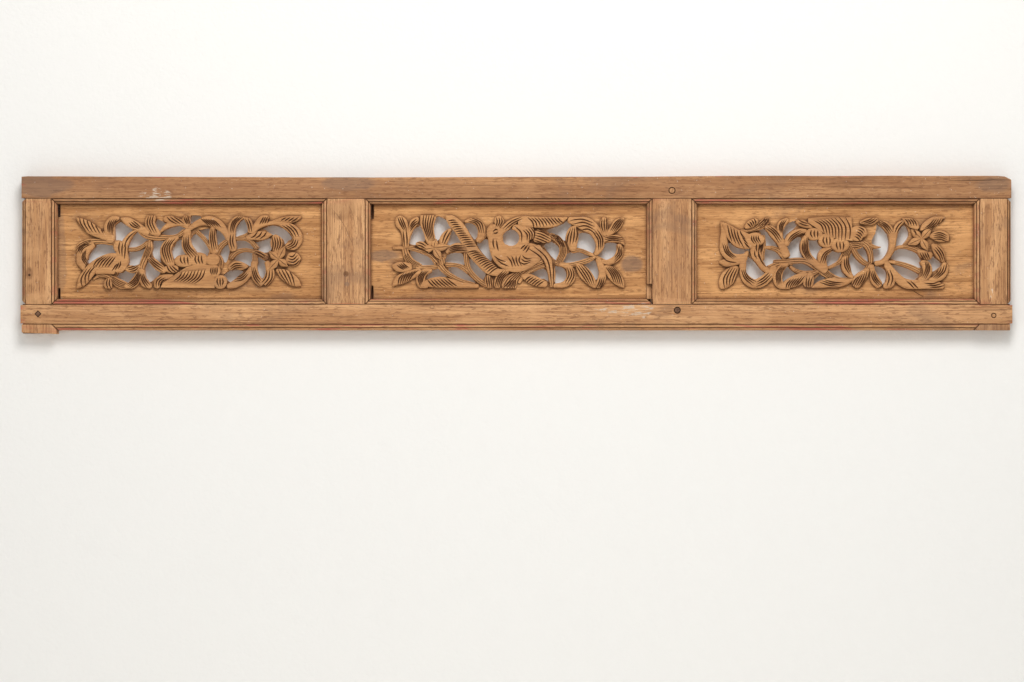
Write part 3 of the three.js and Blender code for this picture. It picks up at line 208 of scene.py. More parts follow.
CENTRE_LEAVES = [
    [[398.5, 218, 8], [401, 223, 12], [404, 229, 9], [405.5, 237, 7], [405.5, 247, 6]],
    [[417.5, 218.5, 4], [414, 222.5, 8], [411, 228, 6], [408, 236, 5], [406.5, 244, 4]],
    [[428, 216, 16], [427, 224, 14], [428.5, 232, 10.5], [430, 239, 10], [431, 246, 6]],
    [[452, 228, 1], [448, 232.5, 6], [444.5, 238, 9], [442, 245, 8]],
    [[426, 247, 5], [420.5, 245, 7], [416, 244, 3]],
    [[392, 266.5, 3], [397, 267, 9], [403, 267.5, 10], [410, 267.5, 8]],
    [[392.5, 286, 2], [398, 281, 9], [405, 277.5, 10], [412, 274.5, 9], [420, 271.5, 6]],
    [[431, 270.5, 4], [424.5, 272.5, 7], [420.5, 278, 9], [421.5, 284, 9], [427, 286.5, 5]],
    [[423, 284.5, 5], [431, 283, 9], [440, 282.5, 11], [450, 283.5, 9], [462, 285.5, 6], [478, 286.5, 4]],
    [[446.5, 252.5, 4], [452, 249, 8], [459, 248, 10], [467, 249.5, 6]],
    [[488, 276, 4], [488.5, 281, 8], [489, 286.5, 7]],
    [[465, 222, 3], [471, 220.7, 5], [478, 223.5, 7], [481.5, 230, 8], [480.5, 237, 7], [477, 241.5, 4]],
    [[498, 217.5, 7], [499, 222, 10], [498, 227, 6]],
    [[527, 246, 7], [537, 250, 9], [545, 257.5, 9], [550, 267, 8], [552, 277, 7], [551, 286.5, 4]],
    [[507, 271, 6], [502, 275.5, 9], [498.5, 281, 8], [497, 287, 7]],
    [[522, 276, 4], [529, 278.5, 9], [537, 282, 9], [546, 285, 6]],
    [[575.5, 226.5, 3], [573, 231, 10], [572, 238, 13], [572.5, 244, 10], [573, 250, 7]],
    [[569, 220, 6], [577, 222, 10], [586, 224.5, 14], [594, 230, 12], [599, 238.5, 10], [600, 247, 8],
     [595.5, 255, 4]],
    [[604, 217.5, 3], [604, 222.5, 8], [604, 229, 7], [605, 235, 6]],
    [[624, 218.5, 3], [618.5, 223, 9], [614, 229, 8], [607, 235, 5]],
    [[603, 240, 6], [611, 239, 7], [619, 239.5, 7], [625, 245, 2]],
    [[619, 245, 5], [620, 251, 7], [617, 258, 7], [609, 262.5, 6], [602, 262, 4]],
    [[598, 259, 5], [601, 266, 7], [602.5, 273, 7], [601.5, 280, 8], [597.5, 287, 6]],
    [[605, 267, 5], [611, 272, 11], [617, 279, 11], [621.5, 284.5, 7], [624, 288, 2]],
    [[577, 265, 4], [582.5, 271, 11], [588.5, 278, 11], [592.5, 283.5, 8], [595, 288, 3]],
    [[560, 264.5, 4], [568, 267, 6], [571, 273, 8], [570, 280, 8.5], [563.5, 285, 6], [554, 286, 4]],
]
CENTRE_BIRDS = [
    [[447, 216, 6], [453, 222, 11], [459.5, 229, 12], [465, 238, 12], [470, 247, 12], [475.5, 255, 12],
     [482, 262, 12], [489, 268.5, 12], [497, 272.5, 8], [505, 272, 5]],
    [[493, 231, 10], [492.5, 240, 9], [495, 250, 11], [499.5, 258, 13], [507, 264, 13], [517, 266, 13],
     [527, 263, 12], [536, 256, 12], [540, 248, 10]],
    [[503, 231, 8], [508, 225.5, 7], [514.5, 221, 6], [522, 218.2, 4], [529, 217.3, 2]],
    [[520, 222, 10], [530, 222.3, 11], [540, 222.5, 11], [550, 222.5, 10.5], [559, 221, 8], [567, 218, 2]],
    [[514, 228, 8], [521, 232, 9], [524, 238.5, 11], [521, 245, 12], [513, 250.5, 13], [503, 250, 13],
     [499, 243, 9], [499, 235, 8], [503, 230, 6]],
    [[516, 228, 8], [524, 232, 12], [531, 235, 13]],
    [[503, 252, 12], [514, 255.5, 13], [526, 254, 13], [537, 250, 8]],
    [[536, 236, 13], [543, 238, 11], [550, 240, 6]],
]
CENTRE_SCALLOPS = [
    [494, 233.5, 6, 7],
]
CENTRE_WINDOWS = [
    [[419, 227], [423, 233], [423, 240], [420, 241.5], [416, 243.5], [411, 243], [409.5, 240], [411, 234],
     [414, 230.5]],
    [[438, 217.5], [443, 220], [450, 226], [446, 230], [441, 235], [437, 240], [435, 236], [434.5, 228],
     [435.5, 221]],
    [[452, 231], [456, 233], [459.5, 240], [460, 243], [455, 243], [448.5, 245], [448.5, 240], [450, 235]],
    [[411, 251.5], [418, 253.5], [425, 256], [430, 259], [434, 264], [428, 265.5], [421, 265], [415, 261],
     [412, 256]],
    [[433, 271], [440, 269.5], [443, 273], [445, 276.5], [438, 276.5], [432, 277.5], [427, 279], [429, 275]],
    [[448, 256], [455, 254], [461, 255], [462, 260], [463, 264], [456, 263], [449, 262.5], [446, 261]],
    [[449, 268], [454, 268], [460, 270.5], [466, 275], [474, 282], [469, 282], [462, 280.5], [456, 278],
     [451, 273]],
    [[470, 260], [474, 261.5], [482, 265.5], [482, 269], [484, 273], [483, 277], [480.5, 279.5],
     [477, 277.5], [473, 273], [470.5, 267]],
    [[465, 225], [470, 223.5], [474, 224.5], [477, 229], [477, 233], [475.5, 237], [473.5, 237.5],
     [470, 231]],
    [[478, 244], [482, 241], [486, 240.5], [488.5, 243], [490, 248], [491, 259], [488, 258], [484, 253],
     [480, 248]],
    [[511, 230.5], [515.5, 232], [518.5, 236], [518, 241], [514, 245], [509, 245.5], [504.5, 242.5],
     [503, 238], [505, 233.5]],
    [[529.5, 275], [533, 271.5], [538, 270], [543, 270], [546, 274], [547, 281], [543, 278], [537, 278],
     [532, 276.5]],
    [[548, 230], [555, 228], [563, 225], [567, 221], [570, 225], [569, 229], [564.5, 239.5], [560, 236],
     [551, 233]],
    [[545, 247], [549, 242.5], [553, 244], [557, 247.5], [559, 252], [558, 257], [556, 259], [552, 255]],
    [[562, 262.5], [566, 256.5], [572, 253], [577, 252.5], [583, 254.5], [588, 257], [584, 259],
     [578, 262], [570, 263]],
    [[576, 246.5], [579, 237], [581, 234.5], [586, 234.5], [591, 237], [594, 243], [594, 248], [592, 252],
     [588, 250], [582, 247.5]],
    [[594, 258], [599, 255], [603, 249], [606, 245], [611, 244], [616, 245], [617, 250], [614, 255.5],
     [608, 259], [601, 259]],
    [[585.5, 266], [590, 262], [593.5, 261], [596, 264], [598.5, 270], [598, 275], [595.5, 278.5],
     [590, 270]],
    [[556, 268], [560, 268], [563.5, 270.5], [565, 275], [564, 279], [560, 281.5], [556, 282], [555.5, 275]],
]
RIGHT_STEMS = [
    [[775, 262, 4], [785, 262, 5], [796, 261, 6], [806, 261.5, 6], [815, 266, 7], [824, 272, 8],
     [832, 277.5, 7], [842, 280.5, 5], [852, 280, 5], [861, 276.5, 5], [867, 271, 5], [871, 264, 5]],
    [[770, 269, 7], [777, 265.5, 6], [785, 264, 5], [793, 263.5, 4]],
    [[741, 231, 3], [749, 231, 4], [757, 228.5, 5], [763, 224.5, 8], [768, 220, 7]],
    [[763, 236, 5], [764.5, 246, 4], [762.5, 254, 5], [762.5, 260, 5]],
    [[764, 247.5, 3], [772, 248, 4], [779, 250.5, 5], [786, 257, 8]],
    [[783.5, 244, 6], [785, 250, 7], [787, 257, 8]],
    [[829, 268.5, 3], [835, 265.5, 3.5], [841, 262, 5], [845, 256, 7], [848, 250, 7], [851, 244, 8]],
    [[848, 243, 6], [855, 245, 10], [862, 244, 8]],
    [[854, 249, 5], [858, 256, 5], [864, 262, 5], [869, 265, 4]],
    [[863, 242.5, 5], [868.5, 247, 6], [871.5, 255, 5], [872, 263, 5]],
    [[871, 246, 5], [877, 247.5, 3], [881.5, 247.3, 1]],
    [[892, 251, 5], [899, 247.5, 3.5], [907, 247, 4], [915, 249, 5], [922, 252.5, 5]],
    [[889, 262, 3], [897, 263, 4], [905, 265, 4.5], [913, 268, 5], [920, 271.5, 5]],
    [[791, 267, 3], [796, 271, 4], [803, 273.5, 5], [812, 274, 6], [819, 271.5, 3]],
]
RIGHT_LEAVES = [
    [[721.5, 222, 2], [724, 232, 6], [724, 242, 8], [725, 250, 9.5], [730, 256.5, 9], [738, 258, 7],
     [745, 256.5, 6], [748, 252, 3]],
    [[720, 262.5, 3], [726, 263, 8], [733, 262.5, 8], [740, 261.5, 6], [746, 258, 6]],
    [[746, 227.5, 4], [751, 224, 8], [757, 220.5, 6]],
    [[766, 227, 4], [771, 229.5, 8], [775.5, 234.5, 9], [780, 241.5, 7], [784, 249, 8], [787, 256, 8]],
    [[788, 219.5, 5], [782.5, 224, 8], [780.5, 230, 7], [781, 237, 5], [783.5, 244, 6]],
    [[786, 245, 6], [789, 239.5, 7], [794.5, 234.5, 8], [801, 231.5, 6], [807, 231, 4]],
    [[756, 245, 6], [755.5, 250, 10], [757, 256, 10], [760, 262, 7], [764, 268, 6], [769, 272, 6]],
    [[807, 234, 2], [805.5, 240, 7], [805, 248, 9], [808, 256, 8], [814, 262, 7], [820, 267, 7],
     [826, 271, 8]],
    [[797, 221.5, 3], [802, 223, 7], [808, 225.5, 6], [813, 228, 3]],
    [[831, 249, 6], [825, 252.5, 9], [822.5, 258.5, 9], [823.5, 265, 8], [826, 270, 7]],
    [[847, 257, 5], [846, 263, 8], [847, 269, 9], [850, 275, 6], [853, 278, 4]],
    [[737.5, 268, 5], [733.5, 272, 11], [729, 277.5, 15], [724.5, 284, 12], [722, 288.5, 6]],
    [[744, 258, 6], [743, 266, 7], [743.5, 274, 7], [748, 281, 9], [755, 284.5, 9], [763, 282, 10],
     [770, 275.5, 9], [775, 268, 7]],
    [[788, 264.5, 4], [782, 268.5, 7], [778.5, 275, 9], [778.5, 282, 9], [783, 287, 7], [790, 287.5, 5]],
    [[783.5, 285.5, 4], [789, 284, 9], [795, 282, 11], [801, 278.5, 10], [806, 274, 6]],
    [[811, 274, 6], [809.5, 280, 10], [808.5, 286, 10]],
    [[812.5, 288, 2], [820, 285.5, 7], [829, 283.5, 9], [838, 283.5, 9], [847, 282.5, 6], [853, 280, 3]],
    [[869, 270, 4], [864.5, 275, 9], [859.5, 280.5, 11], [856, 286, 9]],
    [[861, 222.5, 3], [867, 221.5, 6], [873, 221, 7], [878, 219.5, 4]],
    [[881, 221.5, 3], [886, 225, 7], [891, 231, 7], [893, 239, 6], [893, 247, 6], [890, 255, 5],
     [884, 262, 5], [876, 264, 5]],
    [[904, 221, 3], [899.5, 225, 6], [896.5, 231, 6], [895, 238, 5], [894, 245, 5]],
    [[903.5, 218.5, 2], [908.5, 221, 7], [914, 224, 9], [918, 228, 6]],
    [[921.5, 230, 3], [926, 226, 7], [932, 222.5, 9], [939, 219, 8], [945, 216.5, 3]],
    [[931, 236, 4], [937, 236, 10], [943, 236.5, 11], [948, 238, 8], [951, 239.5, 3]],
    [[933, 245, 4], [937.5, 249.5, 9], [941.5, 255.5, 9], [944.5, 262, 4]],
    [[919, 251, 4], [923.5, 254, 8], [928.5, 256, 9], [932, 254, 5]],
    [[923, 262, 5], [927, 266, 9], [928.5, 272, 9], [926, 278, 7], [920, 281.5, 5]],
    [[945, 263.5, 4], [945.5, 268, 8], [943, 273.5, 10], [938, 278.5, 8], [930, 281, 4]],
    [[886, 262, 5], [891, 269, 6], [896, 276, 8], [903, 282.5, 9], [912, 285.5, 10], [922, 285.5, 10],
     [934, 285.5, 9], [944, 287, 5]],
    [[872, 266, 5], [873.5, 273, 6], [875.5, 280, 9], [880, 286, 8]],
    [[886, 265.5, 4], [890, 270.5, 6], [892, 277, 8], [890.5, 284, 9], [885, 287.5, 5]],
]
RIGHT_BIRDS = [
    [[722.5, 222.5, 2], [728, 228.5, 9], [734, 235, 14], [741, 239.5, 17], [749, 241.5, 15],
     [757, 240, 15], [763, 240, 8]],
    [[851, 234, 12], [858, 233.5, 15], [863, 233, 12], [866.5, 234, 6]],
]
RIGHT_SCALLOPS = [
    [814.5, 234, 7, 5], [827, 240.5, 6.5, 6], [840.5, 245, 7.5, 6],
]
RIGHT_FANS = [
    [[808.5, 218], [820, 217], [835, 216.5], [852, 217], [853, 241], [841, 239.5], [832, 237.5],
     [824, 233], [816, 227.5], [808.5, 222.5]],
]
RIGHT_WINDOWS = [
    [[728.5, 243], [733, 244.5], [738, 248], [744, 249.5], [750, 249.5], [750, 255], [746, 253],
     [741, 254.5], [736, 256], [731, 253.5], [728.5, 249]],
    [[760.5, 231.5], [765, 229.5], [769, 233], [773.5, 238.5], [777, 243.5], [779, 248], [773, 246],
     [765, 246], [764.5, 240], [763, 235]],
    [[763.5, 251], [768, 250.5], [773, 251.5], [778, 255], [781, 259], [777, 261], [768, 267],
     [765.5, 264], [763.5, 258]],
    [[785, 229], [790, 224], [795, 222], [797, 225], [793, 229.5], [788, 233], [786, 239], [784, 241],
     [783.5, 235]],
    [[788, 257], [788, 247], [791, 243.5], [796, 240], [801, 238], [801, 245], [801, 252], [803, 258]],
    [[810.5, 239], [815, 239.5], [819, 242], [822, 246.5], [820, 250], [818.5, 256], [817.5, 261],
     [813, 257], [810.5, 251]],
    [[828, 267], [828.5, 259], [831, 254], [835, 252], [841, 252.5], [843, 255], [841, 259], [838, 262.5]],
    [[831, 271], [836, 268.5], [841, 265.5], [842, 269], [844, 273], [848, 277.5], [843, 278], [837, 276.5]],
    [[852, 257], [853.5, 255], [857, 260], [862, 264], [866, 266], [863, 271], [858, 274.5], [855, 275.5],
     [853, 271], [851, 264]],
    [[858, 251], [861, 249.5], [864.5, 246], [867, 250], [869, 255], [869, 261], [866, 261], [861, 257]],
    [[878, 225], [883, 229], [888, 236], [890, 244], [888.5, 252], [884, 258], [875, 261.5], [875, 249],
     [874, 241], [877, 235]],
    [[899, 233], [902, 228.5], [906, 226.5], [908, 230], [908.5, 236], [905, 241], [901.5, 246],
     [897.5, 248], [896.5, 243]],
    [[929, 262], [931.5, 258], [933, 255.5], [936, 259], [942.5, 264.5], [939, 267], [935.5, 270],
     [932.5, 270], [931, 266]],
    [[893, 259], [897, 252.5], [901, 250], [908, 250.5], [915, 253], [920, 258], [922.5, 266], [918, 267],
     [912, 265.5], [905, 262.5]],
    [[890, 266], [897, 266], [905, 268], [912, 271], [919, 275], [917, 278], [912, 281], [906, 280],
     [900, 276.5]],
    [[875.5, 268], [881, 268.5], [885.5, 271.5], [887, 276], [886, 281], [883, 285], [881, 283], [878, 277]],
    [[792, 266], [797, 264], [804, 264.5], [811, 266.5], [819, 270], [814, 272], [808, 272.5], [800, 270.5]],
    [[749, 258], [753, 260.5], [757, 264], [760, 268], [766, 272.5], [762, 276], [757, 280], [752, 278.5],
     [748, 274], [746.5, 266]],
    [[784, 272], [788, 268.5], [792, 271], [797, 274.5], [792, 277.5], [787, 280.5], [783, 284],
     [782.5, 278]],
    [[814.5, 284.5], [817, 280], [822, 275.5], [825, 277.5], [828.5, 280], [823, 281.5]],
]
LEFT_GOUGES = [
    [[79, 219], [80, 224], [84, 230], [97, 223], [99.5, 228], [102, 232.5], 6],
    [[109, 221], [107, 226], [107.5, 231], [115, 220.5], [112.3, 226], [112, 233], 4],
    [[77, 251], [79, 247.5], [84, 244.5], [80.5, 252], [83, 247.5], [89, 244.8], 3],
    [[82, 254], [81.5, 259], [84.5, 264], [85, 251], [84, 257], [87, 262], 3],
    [[81.5, 286], [80.5, 279], [85, 271], [88, 279], [89, 273], [94, 267], 3],
    [[93, 266], [96, 261], [101, 257.5], [108, 266], [111, 262], [114, 258], 6],
    [[112, 270], [114, 267], [116, 264.5], [118, 268], [119.5, 265], [120, 262], 3],
    [[119, 243], [118, 248], [119, 253], [125, 246], [124.5, 251], [124, 257], 3],
    [[124, 246], [127, 239], [133, 233], [125.5, 247], [128, 241], [133.5, 234.5], 1],
    [[106.5, 280], [105.7, 284], [107, 287.5], [109, 280], [108.5, 284], [109.8, 287.5], 2],
    [[127.5, 283.5], [133, 279.5], [137, 272.5], [131, 287], [136.5, 283], [139, 275.5], 4],
    [[140, 275], [141.5, 281], [145, 286.5], [143, 275], [145, 280], [148.5, 284], 3],
    [[127, 268], [131, 267], [136, 264.8], [130, 271.3], [134, 270.5], [137, 268], 3],
    [[150, 257.5], [155, 262], [161, 266], [148.5, 260.5], [153, 265.5], [160, 270.5], 3],
    [[129, 223.5], [132, 226.5], [137, 228.3], [133, 221.5], [136, 224], [139, 226.5], 3],
    [[147.5, 218], [146.5, 224], [150, 231], [152.5, 217], [151.5, 223], [155, 230.5], 3],
    [[167, 218], [170, 221], [175, 223.5], [174, 217.5], [178, 220], [182, 223], 3],
    [[183.5, 218], [184.5, 221], [186, 223.5], [187, 217], [188, 220], [189, 223.5], 3],
    [[201, 219.5], [204, 222], [207, 225], [213, 220.5], [216, 223], [219.5, 226.5], 6],
    [[183, 240], [183.5, 248], [189, 256], [188, 238], [188.5, 246], [195, 253], 4],
    [[165, 242.5], [161.5, 250], [164.5, 260], [173, 240.5], [168.5, 248], [171, 259], 4],
    [[210.5, 231], [210, 239], [211.3, 248], [214, 231], [214, 239], [215.5, 247], 3],
    [[181, 273], [178.5, 277], [174.5, 280], [204, 271], [201.5, 277.5], [195.5, 282.5], 8],
    [[172, 266.5], [175, 269.5], [178.5, 271.5], [166.5, 266.5], [168, 270], [171, 272.5], 3],
    [[155.5, 286], [156, 281], [160, 277.5], [160, 284.5], [162, 281], [166, 279.5], 3],
    [[180, 257.5], [180, 260.5], [181.5, 263], [187, 257.5], [187, 260.5], [187.5, 263.5], 3],
    [[195, 256.5], [194.5, 260], [196, 263], [201, 256.5], [201, 260], [202, 263], 3],
    [[210.5, 268.5], [210, 271.5], [211, 274], [216.5, 268], [216.5, 271], [216, 274], 4],
    [[217, 279], [216.5, 282], [218, 285.5], [222, 279], [222.5, 282], [221.5, 285], 3],
    [[236.5, 218], [231.5, 223], [230, 230.5], [241, 218], [235, 223.5], [233, 231], 3],
    [[230, 236], [229.5, 242], [231, 248], [232.5, 236], [232, 242], [233.5, 247], 2],
    [[245.5, 220.5], [247.5, 225], [248.5, 230], [248, 220], [250, 225], [250.8, 230], 2],
    [[259.5, 223.5], [261, 221], [262.5, 218], [267, 222.5], [268, 220], [269, 217.5], 4],
    [[283, 226.5], [288, 230], [292, 236], [290, 225.5], [295, 230], [297.5, 235], 3],
    [[286.5, 246], [291, 243.5], [292.5, 240], [289.5, 248.7], [295, 246], [297, 241.5], 3],
    [[281, 220.5], [283, 219], [285, 218], [291.5, 221.5], [294.5, 220], [297, 218], 4],
    [[251, 237.5], [254, 236], [256.5, 232], [260, 238.3], [263.5, 236], [265.5, 232.5], 3],
    [[271.5, 238.5], [272.5, 244], [271.5, 250.5], [279, 238.5], [280, 244], [278, 249], 4],
    [[255, 251.5], [260, 253.3], [264, 256.5], [254.5, 254], [259, 256], [263, 258.5], 2],
    [[251.5, 270], [253.5, 278], [258, 284], [254.5, 269], [256.5, 275.5], [259.5, 279.5], 3],
    [[266, 272], [265, 277.5], [262, 281.5], [271.5, 271.5], [271, 279], [266, 285], 3],
    [[289, 256], [292, 256.7], [294.5, 254], [288, 264.5], [294, 265], [298.5, 261], 4],
    [[278.5, 271], [281, 276], [285, 281.5], [288, 270], [291.5, 276], [293.5, 283.5], 4],
    [[230.5, 266.5], [235, 263.5], [240, 264], [231, 270.5], [236, 268], [242, 268], 3],
    [[235, 277], [240, 276], [244, 272.5], [236, 281], [242, 279.5], [246.5, 275], 3],
]
CENTRE_GOUGES = [
    [[398, 219], [400, 224], [403, 229.5], [402, 218.5], [404, 223.5], [406, 229], 3],
    [[403, 233], [403.5, 239], [404, 245], [406, 232], [406.8, 239], [406.8, 245], 2],
    [[410, 226.5], [412.5, 222.5], [415.5, 220], [411, 230], [414, 226], [417.5, 223.5], 3],
    [[423.5, 217], [423, 226], [427.5, 238], [434, 217], [431.7, 227], [433.5, 238], 5],
    [[447, 231.5], [444.5, 236], [442.5, 242], [450, 232.5], [447.5, 237], [444.5, 243], 2],
    [[449, 221], [452, 220.5], [455, 220.5], [467, 247], [471, 246.5], [475, 246.5], 13],
    [[468.5, 252.5], [473, 251.5], [477, 251.5], [490, 273.5], [494, 270], [498, 268], 12],
    [[418, 243], [421.5, 243.8], [425, 246], [417.5, 245.5], [421, 246.5], [424.5, 248.5], 2],
    [[397.5, 266], [400, 268], [403, 269.5], [403, 263.5], [405.5, 266], [408, 267.5], 4],
    [[398, 284], [399, 279], [402.5, 275], [409.5, 280], [412.5, 275], [417, 271.5], 6],
    [[421.5, 272.5], [418, 278], [419.5, 284.5], [427, 272.5], [423.5, 276.5], [422.5, 281.5], 4],
    [[428, 281], [430.5, 284], [434, 287], [447.5, 279.5], [451.5, 283], [456, 286], 7],
    [[450, 248], [455, 246], [462, 246], [450, 252.7], [457, 251], [465, 251], 4],
    [[486.5, 277.5], [486.5, 281.5], [487.5, 286], [490.5, 277], [491, 281], [491.5, 286], 3],
    [[470, 222], [476, 224], [479, 231], [473, 219], [481, 223], [483, 231], 3],
    [[496.5, 219], [497, 222.5], [496, 226], [501.5, 219], [502, 222.5], [499.8, 226], 3],
    [[507, 228.5], [513, 223.5], [520, 220], [504.5, 227.5], [511, 222], [519, 218.3], 2],
    [[529, 219], [532.5, 222.5], [533.5, 227], [558, 218.5], [560, 221], [563, 223], 10],
    [[524, 231.5], [527, 235], [527, 239.5], [531.5, 229], [534.5, 233.5], [533.5, 239], 4],
    [[537, 231], [543, 232.5], [550, 236.5], [536, 241], [541, 243], [546, 245], 5],
    [[521, 249], [523, 247], [525, 245.5], [526, 252], [528, 249.5], [529, 247], 3],
    [[508, 258], [511, 262], [512, 266], [520, 257], [519, 261], [521, 265], 4],
    [[523, 256.5], [526, 259], [530, 259], [521, 263], [524, 264.5], [529, 263], 3],
    [[495, 257], [499, 260], [504, 261.5], [498, 261], [502, 264], [507, 266], 2],
    [[493, 240], [493, 244], [494, 248], [496.5, 242], [497, 246], [498, 250], 2],
    [[516, 228], [521, 233], [521.5, 240], [514, 231], [518.5, 235], [519.5, 240], 1],
    [[531, 251], [543, 261], [549, 283], [541, 247], [552, 260], [553, 282], 3],
    [[502, 272.5], [497.5, 278], [495.5, 285], [508, 274], [503, 279], [500.5, 286], 4],
    [[504, 287.5], [507, 284.5], [510, 281], [514.5, 287.5], [515, 284.5], [515.5, 281.5], 4],
    [[524, 282], [527, 279], [530, 277], [537, 286.5], [540, 284], [543, 282], 6],
    [[552, 236], [557, 239], [560, 245], [555, 234.5], [560.5, 239], [564, 246], 3],
    [[567, 245], [567.5, 238], [570, 231], [576, 241], [577.5, 235], [576.5, 229], 4],
    [[573, 220.5], [582, 219.5], [591, 222.5], [582, 230.5], [588, 229.5], [594, 233], 4],
    [[594, 234], [598, 240], [598.5, 248], [598.5, 232], [602.5, 239], [602, 247], 3],
    [[602, 221], [601.5, 226], [603, 231], [606.5, 219.5], [607, 225], [606, 230], 3],
    [[611.5, 229.5], [615, 223.5], [619.5, 219.5], [616, 231], [620, 226], [623, 221], 4],
    [[606, 238], [613, 237], [621, 238], [607, 241.5], [613, 240.5], [621, 241.5], 3],
    [[617.5, 247], [618.5, 252], [615.5, 257], [621.5, 249], [621.5, 255], [616, 261], 3],
    [[600, 279], [599, 283], [597, 287], [604, 279], [603, 283.5], [600.5, 287.5], 3],
    [[607, 269], [611, 275], [613.5, 281], [614, 268.5], [619.5, 275], [622, 283.5], 5],
    [[577.5, 268], [582, 275], [587, 282.5], [584.5, 267], [590.5, 274.5], [593.5, 283], 4],
    [[567.5, 269.5], [569, 275], [566, 281.5], [572.5, 270], [574, 276], [570.5, 283], 3],
    [[414, 247], [421, 249.5], [429, 253.5], [414, 247], [421, 249.5], [429, 253.5], 1],
    [[497.3, 230.3], [495.5, 229.8], [493.4, 231.6], [497.6, 232.3], [496, 233.5], [493.5, 233.4], 2],
]
RIGHT_GOUGES = [
    [[723.5, 246], [726, 253], [732, 258], [727.5, 246], [729.5, 252], [735, 256.5], 3],
    [[724, 259], [729, 262], [735, 262.8], [724, 259], [729, 262], [735, 262.8], 1],
    [[728, 227], [729.5, 234], [731.5, 240], [737.5, 232], [739, 238.5], [743, 246], 4],
    [[740.5, 231.5], [742, 235], [745, 238.5], [745, 243], [747, 245.5], [749.5, 248], 3],
    [[752, 236.5], [751.8, 239.5], [754, 243], [758.5, 236.5], [758.7, 239], [760.5, 242], 4],
    [[748, 223.5], [749.5, 225], [751, 227], [754.5, 219], [755.7, 221.3], [756, 223.8], 4],
    [[760, 223.5], [763, 221], [765, 218.5], [765.5, 224.5], [767.5, 222], [769, 219.5], 3],
    [[767, 229], [773, 233.5], [778, 241], [771, 227], [776.5, 231.5], [781, 238], 3],
    [[782, 221.5], [780, 226], [780.5, 231], [786, 221], [783, 226.5], [783.2, 231.5], 3],
    [[789, 240], [792.5, 235.5], [799, 231.5], [791.5, 242], [795.5, 238], [801.5, 234], 3],
    [[757, 245], [756.5, 248], [757, 251], [763, 245], [762.5, 249], [761, 252], 3],
    [[755, 252], [755, 255], [756.5, 258], [759, 252], [759, 256], [761, 260], 2],
    [[760, 256], [761.5, 261], [765, 266], [760, 256], [761.5, 261], [765, 266], 1],
    [[803.5, 243], [803, 250], [807, 258], [808.5, 240], [808, 250], [812, 258], 4],
    [[816, 221.5], [821.5, 225], [824, 231.5], [836.5, 219.5], [842, 227], [842, 238], 7],
    [[841, 219], [846, 227], [845.5, 238], [847, 219.5], [850.5, 228], [850, 238], 2],
    [[860, 227.5], [863, 229], [864.5, 231], [856, 237], [858.5, 238.5], [860, 240.5], 5],
    [[800, 220], [803, 222], [807, 223.3], [800, 223], [803.5, 224.7], [808, 225.7], 2],
    [[811.5, 231], [811, 234], [812.5, 237], [818, 231.5], [818, 234], [818, 237], 3],
    [[824, 238], [823.5, 241], [825, 244.5], [830, 238], [830.5, 241], [830, 244], 3],
    [[837, 243], [837, 246], [838, 249], [843.5, 243], [844, 246], [843.5, 249], 3],
    [[830.5, 250], [824.5, 254], [821.5, 261], [834, 251.5], [828, 256], [825.5, 262], 3],
    [[845, 261], [845.5, 267], [849, 273], [849.5, 256], [849, 263], [851, 270], 3],
    [[724.5, 286.5], [724, 279], [729, 270.5], [735, 281.5], [737.5, 276.5], [739.5, 270.5], 5],
    [[742.5, 272.5], [745, 279], [751, 284.5], [746, 272], [749, 278], [755, 281.5], 3],
    [[758.5, 286.5], [765, 283.5], [770.5, 278], [758.5, 282], [763.5, 278.8], [768, 274.5], 3],
    [[781, 268], [776.8, 275], [777.5, 284], [785, 268.5], [781, 275], [781.3, 282.5], 4],
    [[786.5, 288], [787.5, 284.5], [790.5, 281], [797.5, 286], [801, 282], [804, 278], 6],
    [[807, 279.5], [806.5, 284], [806.8, 288], [812.5, 279], [811, 284], [810.5, 288], 3],
    [[822, 283.5], [829, 286], [836, 286.8], [827, 281], [834, 283], [842, 283.5], 3],
    [[853, 286.5], [855, 281.5], [858, 278], [862, 285], [865.5, 280], [867, 274], 5],
    [[863, 222], [868, 220.5], [872, 218.5], [869, 223.8], [873.5, 222.3], [877, 219.5], 3],
    [[880.5, 224], [885, 227], [889, 232.5], [882.5, 221.5], [888, 225], [892, 230.5], 3],
    [[902.5, 222], [898.5, 226], [896, 231.5], [904.5, 223.5], [901, 227.5], [898.3, 232], 2],
    [[906, 219.5], [908, 221.5], [909, 224.5], [914, 219.5], [916, 222], [917, 225], 4],
    [[927, 227], [931, 224], [934, 220], [934, 229.5], [940, 225.5], [943, 220], 5],
    [[936, 233.5], [941, 232.8], [946, 235], [936, 239.5], [941, 239.5], [946, 241.3], 4],
    [[935.5, 250.5], [939, 255], [941.5, 260.5], [939, 247.5], [943.3, 253], [945.3, 260], 3],
    [[921, 254], [922.5, 257], [924.5, 259.5], [928, 253.5], [929, 256], [930, 258.5], 4],
    [[926, 263.5], [926.8, 269], [924, 276], [929, 264], [930.3, 270], [927, 277.5], 3],
    [[939, 270], [937, 273.5], [933, 277], [947, 266], [945, 272.5], [939, 278], 4],
    [[908, 282.5], [911.5, 285.5], [914, 288.5], [912, 282.5], [915, 285.5], [918, 288.5], 2],
    [[927, 284], [933, 284.5], [939, 282.5], [932, 288], [938, 288], [944, 286.5], 3],
    [[871.8, 274], [873.5, 280], [878, 285.5], [875, 273], [877, 279], [881.3, 284], 3],
    [[888.3, 273], [889.7, 279], [888, 285], [891, 272], [893.2, 279], [891.5, 285], 2],
    [[914.5, 230], [916, 232.5], [916.5, 235], [914.5, 230], [916, 232.5], [916.5, 235], 1],
]

Point = tuple[float, float, float]


class Relief(Enum):
    """How high a kind of carving stands over the ground, in millimetres."""

    STEM = STEM_RELIEF
    LEAF = LEAF_RELIEF
    BIRD = BIRD_RELIEF


